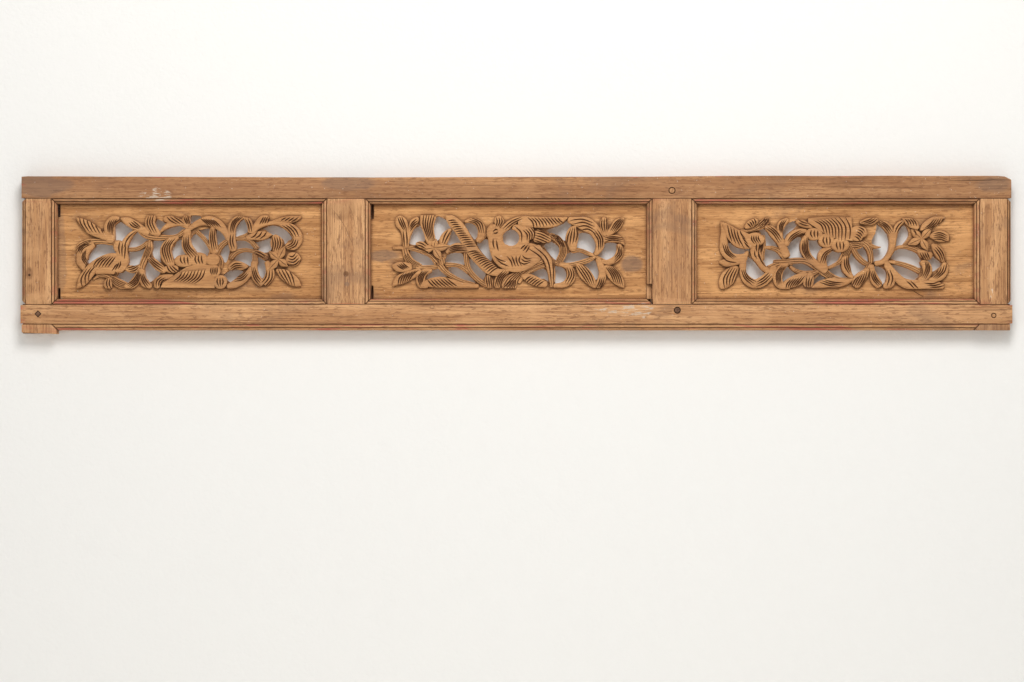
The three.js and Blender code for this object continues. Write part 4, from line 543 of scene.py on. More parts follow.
class Grain(Enum):
    """Which way the grain of a piece runs, as the stretch of its pattern along X, Y and Z."""

    ALONG = (1.0, 14.0, 14.0)
    UPRIGHT = (14.0, 14.0, 1.0)


# Mesh helpers.


def deselect_all() -> None:
    """Leaves nothing selected and no active object."""
    for selected in list(bpy.context.selected_objects):
        selected.select_set(False)
    bpy.context.view_layer.objects.active = None


def make_active(piece: bpy.types.Object) -> None:
    """Selects one piece alone."""
    deselect_all()
    piece.select_set(True)
    bpy.context.view_layer.objects.active = piece


def mesh_object(name: str, points: list[Point], faces: list[list[int]]) -> bpy.types.Object:
    """Makes an object from points in millimetres, with its faces turned outwards.

    Args:
        name: The object's name.
        points: Places in millimetres, in the frame.
        faces: Corner numbers of each face.

    Returns:
        The new object, at the origin.
    """
    mesh = bpy.data.meshes.new(name)
    mesh.from_pydata([[value * MILLIMETRE for value in point] for point in points], [], faces)
    work = bmesh.new()
    work.from_mesh(mesh)
    if work.calc_volume(signed=True) < 0:
        bmesh.ops.reverse_faces(work, faces=work.faces)
    work.to_mesh(mesh)
    work.free()
    piece = bpy.data.objects.new(name, mesh)
    bpy.context.scene.collection.objects.link(piece)
    return piece


def loft(name: str, rings: list[list[Point]]) -> bpy.types.Object:
    """Joins rings of points into one closed solid with flat ends.

    Args:
        name: The object's name.
        rings: Rings with the same number of points each.

    Returns:
        The solid.
    """
    count = len(rings[0])
    points = [point for ring in rings for point in ring]
    faces = []
    for ring in range(len(rings) - 1):
        for k in range(count):
            a = ring * count + k
            b = ring * count + (k + 1) % count
            faces.append([a, b, b + count, a + count])
    last = (len(rings) - 1) * count
    faces.append(list(range(count - 1, -1, -1)))
    faces.append(list(range(last, last + count)))
    return mesh_object(name, points, faces)


def combine(target: bpy.types.Object, tool: bpy.types.Object, operation: str) -> None:
    """Joins a tool to a target or cuts it out of it, and deletes the tool.

    Args:
        target: The piece that changes.
        tool: The solid that is joined or cut out.
        operation: UNION or DIFFERENCE.
    """
    modifier = target.modifiers.new("shape", "BOOLEAN")
    modifier.operation = operation
    modifier.solver = "MANIFOLD"
    modifier.object = tool
    make_active(target)
    bpy.ops.object.modifier_apply(modifier=modifier.name)
    tool_mesh = tool.data
    bpy.data.objects.remove(tool)
    bpy.data.meshes.remove(tool_mesh)


def block(name: str, low: Point, high: Point) -> bpy.types.Object:
    """Adds a box between two corners in millimetres, with its place in its mesh."""
    deselect_all()
    centre = [(a + b) / 2 * MILLIMETRE for a, b in zip(low, high)]
    bpy.ops.mesh.primitive_cube_add(size=1, location=centre)
    piece = bpy.context.active_object
    piece.name = name
    piece.scale = [(b - a) * MILLIMETRE for a, b in zip(low, high)]
    bpy.ops.object.transform_apply(location=True, rotation=True, scale=True)
    return piece


@dataclass(frozen=True)
class Wave:
    """A smooth unevenness between -1 and 1, by how often it comes round for each millimetre."""

    along: float
    across: float
    seed: float

    def at(self, along: float, across: float) -> float:
        """Gives its value at a place, the same each time."""
        return noise.noise(Vector((along * self.along, across * self.across, self.seed)))


def full_turn(sides: int) -> list[float]:
    """Lists the angles of a round outline's corners."""
    return [2 * math.pi * k / sides for k in range(sides)]


def smooth_line(points: list[list[float]], steps: int) -> np.ndarray:
    """Runs a smooth curve through the points.

    Args:
        points: The points, with any number of values each.
        steps: Steps between one point and the next.

    Returns:
        One row for each step along the curve.
    """
    line = np.array(points, dtype=float)
    padded = np.vstack([2 * line[0] - line[1], line, 2 * line[-1] - line[-2]])
    rows = []
    for i in range(1, len(padded) - 2):
        before, start, end, after = padded[i - 1 : i + 3]
        for step in range(steps):
            t = step / steps
            slope = (end - before) * t
            bend = (2 * before - 5 * start + 4 * end - after) * t**2
            twist = (3 * start - before - 3 * end + after) * t**3
            rows.append(start + 0.5 * (slope + bend + twist))
    rows.append(padded[-2])
    return np.array(rows)


# The carved boards.

# Places across a stroke, from one side to the other, and which of them are cut down as grooves.
STROKE_SHARES = (-1.0, -0.94, -0.8, -0.66, -0.54, -0.42, -0.3, -0.18, -0.06,
                 0.06, 0.18, 0.3, 0.42, 0.54, 0.66, 0.8, 0.94, 1.0)
BROAD_GROOVES = (-0.54, -0.18, 0.18, 0.54)
NARROW_GROOVES = (-0.42, 0.3)

# A cut swells from its ends to its middle, and its cutter widens on past the surface.
LEAST_SWELL = 0.12
SWELL_POWER = 0.55
CUT_FLARE = 1.5
CUT_CLEARANCE = 1.2

# The trim at the field's edges stays this far above the ground.
TRIM_CLEARANCE = 0.05

# The rounded top of a scallop: the share of its width, and how far below its full height.
SCALLOP_CROWN = ((1.0, 3.2), (0.95, 1.9), (0.8, 0.8), (0.5, 0.4), (0.2, 0.9))


@dataclass(frozen=True)
class Drawing:
    """The squared drawing of one board: its opening, its carved field and its carving."""

    edges: tuple[float, float, float, float]
    field_edges: tuple[float, float, float, float]
    stems: list
    leaves: list
    birds: list
    scallops: list
    windows: list
    gouges: list
    flower: list
    fans: list = field(default_factory=list)
    cracks: list = field(default_factory=list)
    gaps: list = field(default_factory=list)
    round_hole: tuple[float, float, float] | None = None


@dataclass
class CarvedBoard:
    """One pierced board, with its strokes joined into one solid and its gouge cuts taken out of it."""

    node: str
    drawing: Drawing
    stroke_steps: int = 5
    gouge_width: float = 3.0
    gouge_depth: float = 3.0
    gouge_reach: float = 0.28
    edge_rounding: float = 2.4
    crack_width: float = 1.3
    crack_depth: float = 2.0
    petal_width: float = 7.6
    gap_floor: float = 3.5
    scallop_growth: float = 1.28
    groove_depth: float = 2.1
    broad_half_width: float = 6.5
    grooved_half_width: float = 3.6
    least_width: float = 0.8
    full_width: float = 9.0
    narrow_height: float = 0.62
    unevenness: float = 0.5
    crown_power: float = 3.2
    end_reach: float = 0.2
    end_width: float = 0.55
    petal_root_width: float = 3.0
    petal_tip_width: float = 1.5
    cut_shadow: float = 1.5
    smooth_angle: float = 34.0
    scallop_sides: int = 28
    round_hole_sides: int = 32
    cut_line: list[Vector] = field(default_factory=list)

    def __post_init__(self) -> None:
        """Takes the opening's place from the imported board, whose tongue runs on into the frame."""
        low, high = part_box(self.node)
        self.left = low[0] / MILLIMETRE + TONGUE_LENGTH
        self.right = high[0] / MILLIMETRE - TONGUE_LENGTH
        self.bottom = low[2] / MILLIMETRE + TONGUE_LENGTH
        self.top = high[2] / MILLIMETRE - TONGUE_LENGTH
        left, right, top, bottom = self.drawing.edges
        self.across = (self.right - self.left) / (right - left)
        self.down = (self.top - self.bottom) / (bottom - top)

    def place(self, column: float, row: float) -> tuple[float, float]:
        """Turns squares of the drawing into x and z in millimetres."""
        x = self.left + (column - self.drawing.edges[0]) * self.across
        z = self.top - (row - self.drawing.edges[2]) * self.down
        return x, z

    def stroke(self, stations: list, relief: Relief, plain: bool = False) -> bpy.types.Object:
        """Lofts a leaf, stem or feather band with rounded edges that sinks where it is narrow.

        Args:
            stations: Points of its centre line with the width at each, in squares.
            relief: How high it stands.
            plain: True to leave it without lengthwise grooves.

        Returns:
            The solid, from behind the board's back to its top.
        """
        line = list(smooth_line([[*self.place(x, y), width * self.across] for x, y, width in stations],
                                self.stroke_steps))
        plain = plain or relief is not Relief.STEM and self.is_gouged(stations)
        rings = []
        self.round_end(line, 0, 1)
        self.round_end(line, -1, -2)
        for i, (x, z, width) in enumerate(line):
            before = line[max(i - 1, 0)]
            after = line[min(i + 1, len(line) - 1)]
            heading = Vector((after[0] - before[0], after[1] - before[1])).normalized()
            half = max(width, self.least_width) / 2
            grooves = ()
            if half > self.grooved_half_width and not plain:
                grooves = BROAD_GROOVES if half > self.broad_half_width else NARROW_GROOVES
            fullness = min(1.0, width / self.full_width)
            top = GROUND + relief.value * (self.narrow_height + (1 - self.narrow_height) * fullness)
            top += self.unevenness * Wave(0.03, 0.03, relief.value).at(x, z)
            drop = self.edge_rounding * (0.5 + 0.5 * fullness)
            ring = [(x + heading.y * half * side, -(BOARD_BACK - OVERRUN),
                     z - heading.x * half * side) for side in (1, -1)]
            for share in STROKE_SHARES:
                height = top - drop * abs(share) ** self.crown_power
                if share in grooves:
                    height -= self.groove_depth * math.sin(math.pi * i / (len(line) - 1)) ** 0.5
                    groove = Vector((x + heading.y * half * share, -height, z - heading.x * half * share))
                    self.cut_line.append(groove * MILLIMETRE)
                ring.append((x + heading.y * half * share, -height, z - heading.x * half * share))
            rings.append(ring)
        return loft("stroke", rings)

    def is_gouged(self, stations: list) -> bool:
        """Finds out whether a family of the drawing's gouge cuts lies on a stroke."""
        for _, first_middle, _, _, last_middle, _, _ in self.drawing.gouges:
            middle = (np.array(first_middle) + np.array(last_middle)) / 2
            if any(math.dist(middle, (x, y)) < width * 0.75 for x, y, width in smooth_line(stations, 3)):
                return True
        return False

    def trim(self, board: bpy.types.Object) -> None:
        """Cuts the carving straight along the edges of its field."""
        left, right, top, bottom = self.drawing.field_edges
        low_x, high_z = self.place(left, top)
        high_x, low_z = self.place(right, bottom)
        floor = -(GROUND + TRIM_CLEARANCE)
        margins = (
            (self.left, self.bottom, low_x, self.top),
            (high_x, self.bottom, self.right, self.top),
            (self.left, self.bottom, self.right, low_z),
            (self.left, high_z, self.right, self.top),
        )
        for x_from, z_from, x_to, z_to in margins:
            combine(board, block("trim", (x_from, -IN_FRONT, z_from), (x_to, floor, z_to)), "DIFFERENCE")

    def round_end(self, line: list, end: int, inner: int) -> None:
        """Adds a narrower station beyond one end of a stroke's line, so that the end is rounded."""
        x, z, width = line[end]
        away = Vector((x - line[inner][0], z - line[inner][1])).normalized() * width * self.end_reach
        line.insert(0 if end == 0 else len(line), np.array([x + away.x, z + away.y, width * self.end_width]))

    def petal(self, centre: list[float], tip: list[float]) -> bpy.types.Object:
        """Makes one pointed petal of the flower, from its centre to its tip."""
        middle = [(a + b) / 2 for a, b in zip(centre, tip)]
        stations = [[*centre, self.petal_root_width], [*middle, self.petal_width],
                    [*tip, self.petal_tip_width]]
        return self.stroke(stations, Relief.BIRD, plain=True)

    def scallop(self, column: float, row: float, half_width: float, half_height: float) -> bpy.types.Object:
        """Lofts a scallop: an oval with a rounded top."""
        x, z = self.place(column, row)
        across = self.scallop_growth * half_width * self.across
        down = self.scallop_growth * half_height * self.down
        top = GROUND + BIRD_RELIEF
        levels = [(1.0, BOARD_BACK - OVERRUN), *((share, top - drop) for share, drop in SCALLOP_CROWN)]
        return loft("scallop", [
            [(x + across * share * math.cos(angle), -height, z + down * share * math.sin(angle))
             for angle in full_turn(self.scallop_sides)]
            for share, height in levels
        ])

    def plate(self, outline: list, back: float, front: float) -> bpy.types.Object:
        """Makes a flat plate of an outline in squares, between two depths in millimetres."""
        corners = [self.place(x, y) for x, y in outline]
        return loft("plate", [[(x, -depth, z) for x, z in corners] for depth in (back, front)])

    def window(self, outline: list) -> bpy.types.Object:
        """Makes the solid that pierces the board, a little wider than the gap between the leaves."""
        centre = np.mean(np.array(outline), axis=0)
        grown = []
        for point in outline:
            way = np.array(point) - centre
            grown.append(np.array(point) + way / np.linalg.norm(way) * WINDOW_GROWTH)
        closed = smooth_line([*grown, grown[0]], 2)[:-1]
        return self.plate([list(point) for point in closed], -OVERRUN, GROUND + OVERRUN)

    def blank(self) -> bpy.types.Object:
        """Makes the board before it is carved: a face plate and the tongue in the frame's grooves."""
        gap = JOINT_GAP
        board = block(f"{self.node}_finished", (self.left + gap, -GROUND, self.bottom + gap),
                      (self.right - gap, -(BOARD_BACK - OVERRUN), self.top - gap))
        reach = TONGUE_LENGTH
        tongue = block("tongue", (self.left - reach, -(TONGUE_BACK + TONGUE_THICKNESS), self.bottom - reach),
                       (self.right + reach, -TONGUE_BACK, self.top + reach))
        combine(board, tongue, "UNION")
        return board

    def gouge_cuts(self, tree: BVHTree) -> list[bpy.types.Object]:
        """Makes the V cuts of each family, which follow the carved surface under them.

        Args:
            tree: The carved surface before it is cut.

        Returns:
            One object of separate cutters for each family.
        """
        families = []
        for *corners, count in self.drawing.gouges:
            first = np.array(corners[:3], dtype=float)
            last = np.array(corners[3:], dtype=float)
            points = []
            faces = []
            for triple in (first, last):
                triple[0], triple[2] = (triple[0] + self.gouge_reach * (triple[0] - triple[1]),
                                        triple[2] + self.gouge_reach * (triple[2] - triple[1]))
            for k in range(count):
                share = k / (count - 1) if count > 1 else 0.0
                self.cut_line += self.add_cut(smooth_line(list(first + (last - first) * share), 5), tree,
                                              points, faces, self.gouge_width, self.gouge_depth)
            if faces:
                families.append(mesh_object("gouge", points, faces))
        centre, *tips = self.drawing.flower
        creases = [[centre, [(a + b) / 2 for a, b in zip(centre, tip)], tip] for tip in tips]
        for line in creases + self.drawing.cracks:
            points = []
            faces = []
            self.add_cut(smooth_line(line, 5), tree, points, faces, self.crack_width, self.crack_depth)
            families.append(mesh_object("crack", points, faces))
        return families

    def add_cut(self, line: np.ndarray, tree: BVHTree, points: list, faces: list,
                width: float, depth: float) -> list[Vector]:
        """Adds one canoe-shaped cutter to the points and faces of its family, and returns its bottom line."""
        bottoms = []
        start = len(points)
        last = len(line) - 1
        depths = [self.surface_depth(tree, *self.place(x, y)) for x, y in line]
        known = [depth for depth in depths if depth is not None]
        if not known:
            known = [GROUND]
        for i, (column, row) in enumerate(line):
            x, z = self.place(column, row)
            before = self.place(*line[max(i - 1, 0)])
            after = self.place(*line[min(i + 1, last)])
            heading = Vector((after[0] - before[0], after[1] - before[1])).normalized()
            swell = max(LEAST_SWELL, math.sin(math.pi * (i + 0.35) / (last + 0.7))) ** SWELL_POWER
            half = width / 2 * swell
            top = depths[i] if depths[i] is not None else float(np.mean(known))
            bottom = top - depth * swell
            flare = half * CUT_FLARE
            clear = -(top + CUT_CLEARANCE)
            points.append((x + heading.y * flare, clear, z - heading.x * flare))
            points.append((x, -bottom, z))
            points.append((x - heading.y * flare, clear, z + heading.x * flare))
            bottoms.append(Vector((x, -bottom, z)) * MILLIMETRE)
            if i > 0:
                bottoms.append((bottoms[-1] + Vector(points[-5]) * MILLIMETRE) / 2)
        for i in range(last):
            a = start + i * 3
            for k in range(3):
                faces.append([a + k, a + (k + 1) % 3, a + 3 + (k + 1) % 3, a + 3 + k])
        faces.append([start + 2, start + 1, start])
        end = start + last * 3
        faces.append([end, end + 1, end + 2])
        return bottoms

    @staticmethod
    def surface_depth(tree: BVHTree, x: float, z: float) -> float | None:
        """Finds how far the carved surface stands from the panel's back, in millimetres."""
        hit, _, _, _ = tree.ray_cast(Vector((x, -IN_FRONT, z)) * MILLIMETRE, Vector((0.0, 1.0, 0.0)))
        if hit is None or -hit.y / MILLIMETRE < GROUND + OVERRUN:
            return None
        return -hit.y / MILLIMETRE

    def mark_cuts(self, board: bpy.types.Object) -> None:
        """Stores how near each vertex lies to the bottom of a gouge cut, from 0 to 1, where the finish paints
        shade and dirt.
        """
        tree = kdtree.KDTree(len(self.cut_line))
        for i, point in enumerate(self.cut_line):
            tree.insert(point, i)
        tree.balance()
        reach = self.cut_shadow * MILLIMETRE
        values = [max(0.0, 1.0 - tree.find(vertex.co)[2] / reach) for vertex in board.data.vertices]
        attribute = board.data.attributes.new("cut", "FLOAT", "POINT")
        attribute.data.foreach_set("value", values)

    def build(self) -> bpy.types.Object:
        """Carves the board and returns it."""
        board = self.blank()
        for outline in self.drawing.windows:
            combine(board, self.window(outline), "DIFFERENCE")
        for stations in self.drawing.stems:
            combine(board, self.stroke(stations, Relief.STEM), "UNION")
        for stations in self.drawing.leaves:
            combine(board, self.stroke(stations, Relief.LEAF), "UNION")
        for outline in self.drawing.fans:
            combine(board, self.plate(outline, BOARD_BACK - OVERRUN, GROUND + BIRD_RELIEF - 1), "UNION")
        for stations in self.drawing.birds:
            combine(board, self.stroke(stations, Relief.BIRD), "UNION")
        for scallop in self.drawing.scallops:
            combine(board, self.scallop(*scallop), "UNION")
        centre, *tips = self.drawing.flower
        for tip in tips:
            combine(board, self.petal(centre, tip), "UNION")
        beyond = 20
        behind = block("behind", (self.left - beyond, -BOARD_BACK, self.bottom - beyond),
                       (self.right + beyond, OVERRUN, self.top + beyond))
        combine(board, behind, "DIFFERENCE")
        if self.drawing.round_hole:
            column, row, radius = self.drawing.round_hole
            outline = [[column + radius * math.cos(angle), row + radius * math.sin(angle)]
                       for angle in full_turn(self.round_hole_sides)]
            combine(board, self.plate(outline, -OVERRUN, IN_FRONT), "DIFFERENCE")
        self.trim(board)
        work = bmesh.new()
        work.from_mesh(board.data)
        tree = BVHTree.FromBMesh(work)
        work.free()
        for family in self.gouge_cuts(tree):
            combine(board, family, "DIFFERENCE")
        for low_column, high_column, high_row, low_row in self.drawing.gaps:
            low_x, low_z = self.place(low_column, low_row)
            high_x, high_z = self.place(high_column, high_row)
            gap = block("gap", (low_x, -GROUND - 2 * OVERRUN, low_z), (high_x, -self.gap_floor, high_z))
            combine(board, gap, "DIFFERENCE")
        self.mark_cuts(board)
        make_active(board)
        bpy.ops.object.shade_smooth_by_angle(angle=math.radians(self.smooth_angle))
        return board


LEFT_FLOWER = [[277.8, 259.3], [268.6, 251.5], [284.2, 246.6], [287, 266.4], [268, 270]]
CENTRE_FLOWER = [[433.5, 248.2], [435.7, 239.5], [449.5, 246.5], [441, 260], [421.5, 250.3]]
RIGHT_FLOWER = [[922, 239], [912, 229.5], [932, 228], [928.5, 251], [909, 244.5]]
CENTRE_CRACKS = [
    [[609, 256.4], [628, 256.2], [646.5, 256.9]], [[394.3, 214], [394.4, 232], [394.2, 249]],
    [[375, 276], [386, 275.5], [397, 276.5]],
]
RIGHT_CRACKS = [
    [[719.8, 218], [719.6, 240], [719.8, 262]], [[950, 217], [950.2, 250], [949.8, 289]],
    [[921, 289.6], [935, 289.8], [950, 289.6]], [[912, 290], [919, 294.5], [925, 298]],
]
DRAWINGS = {
    "carved_panel_left": Drawing(
        edges=(56.3, 321.2, 204.1, 299.0), field_edges=(75.5, 315.0, 215.5, 288.6),
        stems=LEFT_STEMS, leaves=LEFT_LEAVES, birds=LEFT_BIRDS, scallops=LEFT_SCALLOPS, fans=LEFT_FANS,
        windows=LEFT_WINDOWS, gouges=LEFT_GOUGES, flower=LEFT_FLOWER,
        gaps=[[56.4, 59, 204.3, 217], [57, 59, 288, 298.9]],
    ),
    "carved_panel_centre": Drawing(
        edges=(370.3, 646.9, 204.2, 299.4), field_edges=(392.0, 624.5, 215.5, 288.4),
        stems=CENTRE_STEMS, leaves=CENTRE_LEAVES, birds=CENTRE_BIRDS, scallops=CENTRE_SCALLOPS,
        windows=CENTRE_WINDOWS, gouges=CENTRE_GOUGES, flower=CENTRE_FLOWER, cracks=CENTRE_CRACKS,
        gaps=[[370.4, 373.4, 204.4, 219], [371, 373, 286, 299.2]],
        round_hole=(511.0, 238.0, 8.2),
    ),
    "carved_panel_right": Drawing(
        edges=(696.9, 974.8, 203.6, 300.0), field_edges=(718.0, 951.0, 216.3, 289.7),
        stems=RIGHT_STEMS, leaves=RIGHT_LEAVES, birds=RIGHT_BIRDS, scallops=RIGHT_SCALLOPS, fans=RIGHT_FANS,
        windows=RIGHT_WINDOWS, gouges=RIGHT_GOUGES, flower=RIGHT_FLOWER, cracks=RIGHT_CRACKS,
    ),
}


# The frame.

# A bar's corners, the length of one step along it, and how much more its ends are rounded.
CORNER_ROUNDING = 1.6
CORNER_FULLNESS = 0.3
BACK_BEVEL = 1.0
BAR_STEP = 12
END_ROUNDING = 0.9

# Wear along the members, and how much of it reaches a bar's near side and its front.
SLOW_WEAR = Wave(0.011, 0.1, 1.0)
QUICK_WEAR = Wave(0.06, 0.1, 4.0)
FAR_CHIPS = Wave(0.035, 0.07, 9.0)
NEAR_CHIPS = Wave(0.04, 0.07, 5.0)
NEAR_SHARE = 0.3
FRONT_SHARE = 0.4
SLOW_RUB = 0.45
QUICK_RUB = 0.25
CRACK_WAVE = Wave(0.08, 0.08, 2.0)
CRACK_WANDER = 0.5
CRACK_LEAST = 0.08
CRACK_ENDS = 0.03

# A moulded strip's section: how far it runs under its bar, where its fillet and its second line lie as
# shares of its width, and how deep its parts lie under the member's face.
STRIP_OVERLAP = 1.5
FILLET_SHARE = 0.16
LINE_SHARE = 0.58
LINE_WIDTH = 1.0
LINE_DEPTH = 4.2
LINE_SLOPE = 0.8
LINE_EDGE = 1.8
FILLET_DEPTH = 1.2
QUIRK_EDGE = 1.0
QUIRK_FLOOR_SHARE = 0.55
ARRIS = 0.2
OVOLO_STEPS = 5
OVOLO_TOP = 2.6
OVOLO_FOOT = 0.6
STRIP_STEP = 9
MITRE_GROOVE = 1.3

# The stub of the right middle stile's moulding that has broken off, from its lower end.
BROKEN_LENGTH = 38.0

# Pegs and their holes.
ROUND_SIDES = 24
SQUARE_SIDES = 4
PEG_LENGTH = 24.0
PEG_EASE = 0.7
PEG_CHIPS = 0.05
PEG_SMOOTH_ANGLE = 30
PEG_CROWN = ((1.0, 1.2), (0.9, 0.3), (0.5, 0.0), (0.12, 0.2))
SQUARE_PEG = "peg_left_corner"
DARK_PEGS = ("peg_bottom_rail", SQUARE_PEG)
PEGS = ("peg_top_rail", "peg_bottom_rail", SQUARE_PEG, "peg_right_corner")

# How far the top rail's upper edge has worn down, and where along it.
TOP_EDGE_AT = (-930.5, -410.0, -240.0, 270.0, 385.0, 916.0, 930.5)
TOP_EDGE_DIP = (0.8, 2.8, 2.8, 1.3, 0.0, 0.0, 6.0)


@dataclass
class Member:
    """A rail or stile: a worn bar with moulded strips beside it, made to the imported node's box."""

    node: str
    upright: bool
    wear: float = 0.35
    quick_share: float = 0.6
    far_chips: float = 2.4
    near_chips: float = 2.0
    smooth_angle: float = 32.0

    def __post_init__(self) -> None:
        """Takes the member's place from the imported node."""
        self.low, self.high = ([value / MILLIMETRE for value in corner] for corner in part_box(self.node))

    def bar(self, start: float, end: float, near: float, far: float, depth: float = FRAME_DEPTH,
            back: float = 0.0, dipped: bool = False) -> bpy.types.Object:
        """Lofts a bar with rounded, worn corners along the member.

        Args:
            start: Where it starts along the grain.
            end: Where it ends along the grain.
            near: Its lower side across the grain.
            far: Its upper side across the grain.
            depth: The depth of its front face.
            back: The depth of its back face.
            dipped: True for the top rail, whose upper edge is worn hollow.

        Returns:
            The bar.
        """
        steps = max(6, int((end - start) / BAR_STEP))
        rings = []
        for i in range(steps + 1):
            along = start + (end - start) * i / steps
            slow_wear = SLOW_WEAR.at(along, near)
            quick_wear = QUICK_WEAR.at(along, far)
            worn = self.wear * (1 + slow_wear + self.quick_share * quick_wear)
            far_chip = self.far_chips * FAR_CHIPS.at(along, far)
            near_chip = self.near_chips * NEAR_CHIPS.at(along, near)
            edge = CORNER_ROUNDING + max(0.0, far_chip)
            low_edge = CORNER_ROUNDING + max(0.0, near_chip)
            end_inset = END_ROUNDING if i in (0, steps) else 0.0
            a = near + worn * NEAR_SHARE + end_inset
            dip = float(np.interp(along, TOP_EDGE_AT, TOP_EDGE_DIP)) if dipped else 0.0
            b = far - worn - end_inset - dip
            front = depth - FRONT_SHARE * worn - end_inset
            section = [
                (a, back + BACK_BEVEL), (a + BACK_BEVEL, back), (b - BACK_BEVEL, back),
                (b, back + BACK_BEVEL), (b, front - edge),
                (b - edge * CORNER_FULLNESS, front - edge * CORNER_FULLNESS), (b - edge, front),
                (a + low_edge, front),
                (a + low_edge * CORNER_FULLNESS, front - low_edge * CORNER_FULLNESS), (a, front - low_edge),
            ]
            rings.append([self.point(along, across, deep) for across, deep in section])
        return loft("bar", rings)

    def point(self, along: float, across: float, deep: float) -> Point:
        """Turns a place along and across the grain into the frame's x, y and z."""
        if self.upright:
            return (across, -deep, along)
        return (along, -deep, across)

    def moulding(self, start: float, end: float, quirk: float, outward: float, width: float,
                 mitres: tuple[float, float]) -> bpy.types.Object:
        """Lofts a moulded strip beside a quirk, an ovolo under a fillet, mitred or square at its ends.

        Args:
            start: Where the quirk starts along the grain.
            end: Where the quirk ends along the grain.
            quirk: The quirk's place across the grain.
            outward: 1 or -1, the way the strip goes across the grain.
            width: The strip's width.
            mitres: 1 for a mitre and 0 for a square end, at the start and at the end.

        Returns:
            The strip.
        """
        face = FRAME_DEPTH
        foot = face - MOULDING_DROP
        profile = [(-STRIP_OVERLAP, 0.0), (width, 0.0), (width, foot)]
        line = width * LINE_SHARE
        ovolo = width - ARRIS - line - LINE_WIDTH
        for k in range(OVOLO_STEPS + 1):
            angle = math.pi / 2 * k / OVOLO_STEPS
            profile.append((line + LINE_WIDTH + ovolo * math.cos(angle),
                            foot + OVOLO_FOOT + (MOULDING_DROP - OVOLO_TOP) * math.sin(angle)))
        sunk = face - QUIRK_DEPTH
        profile += [
            (line, face - LINE_DEPTH), (line - LINE_SLOPE, face - LINE_EDGE),
            (QUIRK_WIDTH + width * FILLET_SHARE, face - FILLET_DEPTH), (QUIRK_WIDTH, face - QUIRK_EDGE),
            (QUIRK_WIDTH * QUIRK_FLOOR_SHARE, sunk), (ARRIS, sunk), (-STRIP_OVERLAP, sunk),
        ]
        steps = max(6, int((end - start) / STRIP_STEP))
        rings = []
        groove = MITRE_GROOVE / (end - start)
        shares = [0.0, groove, *[i / steps for i in range(1, steps)], 1.0 - groove, 1.0]
        for share in shares:
            ring = []
            for u, deep in profile:
                from_here = start + JOINT_GAP + mitres[0] * max(u, 0.0)
                to_here = end - JOINT_GAP - mitres[1] * max(u, 0.0)
                along = from_here + (to_here - from_here) * share
                rub = SLOW_RUB * Wave(0.03, 0.1, u * 0.5).at(along, quirk)
                rub += QUICK_RUB * Wave(0.11, 0.1, u).at(along, quirk)
                if share in (0.0, 1.0):
                    rub = MITRE_GROOVE
                if deep < foot or u <= ARRIS:
                    rub = 0.0
                ring.append(self.point(along, quirk + outward * u, deep - abs(rub)))
            rings.append(ring)
        return loft("moulding", rings)

    def crack(self, line: list[list[float]], width: float, depth: float) -> bpy.types.Object:
        """Makes the cutter of a crack or scratch along a line of [x, z] points on the front face."""
        run = smooth_line(line, 6)
        rings = []
        for i, (x, z) in enumerate(run):
            share = i / (len(run) - 1)
            inside = min(1 - CRACK_ENDS, max(CRACK_ENDS, share))
            half = max(CRACK_LEAST, width / 2 * math.sin(math.pi * inside) ** 0.5)
            z_here = z + CRACK_WANDER * CRACK_WAVE.at(x, z)
            aside, above = (half, 0.0) if self.upright else (0.0, half)
            clear = -FRAME_DEPTH - OVERRUN
            rings.append([(x - aside, clear, z_here - above), (x, -(FRAME_DEPTH - depth), z_here),
                          (x + aside, clear, z_here + above)])
        return loft("crack", rings)

    def finish(self, parts: list[bpy.types.Object], cuts: list[bpy.types.Object]) -> bpy.types.Object:
        """Joins the parts, takes out the cuts and shades the member."""
        member = parts[0]
        member.name = f"{self.node}_finished"
        for part in parts[1:]:
            combine(member, part, "UNION")
        for cut in cuts:
            combine(member, cut, "DIFFERENCE")
        make_active(member)
        bpy.ops.object.shade_smooth_by_angle(angle=math.radians(self.smooth_angle))
        return member


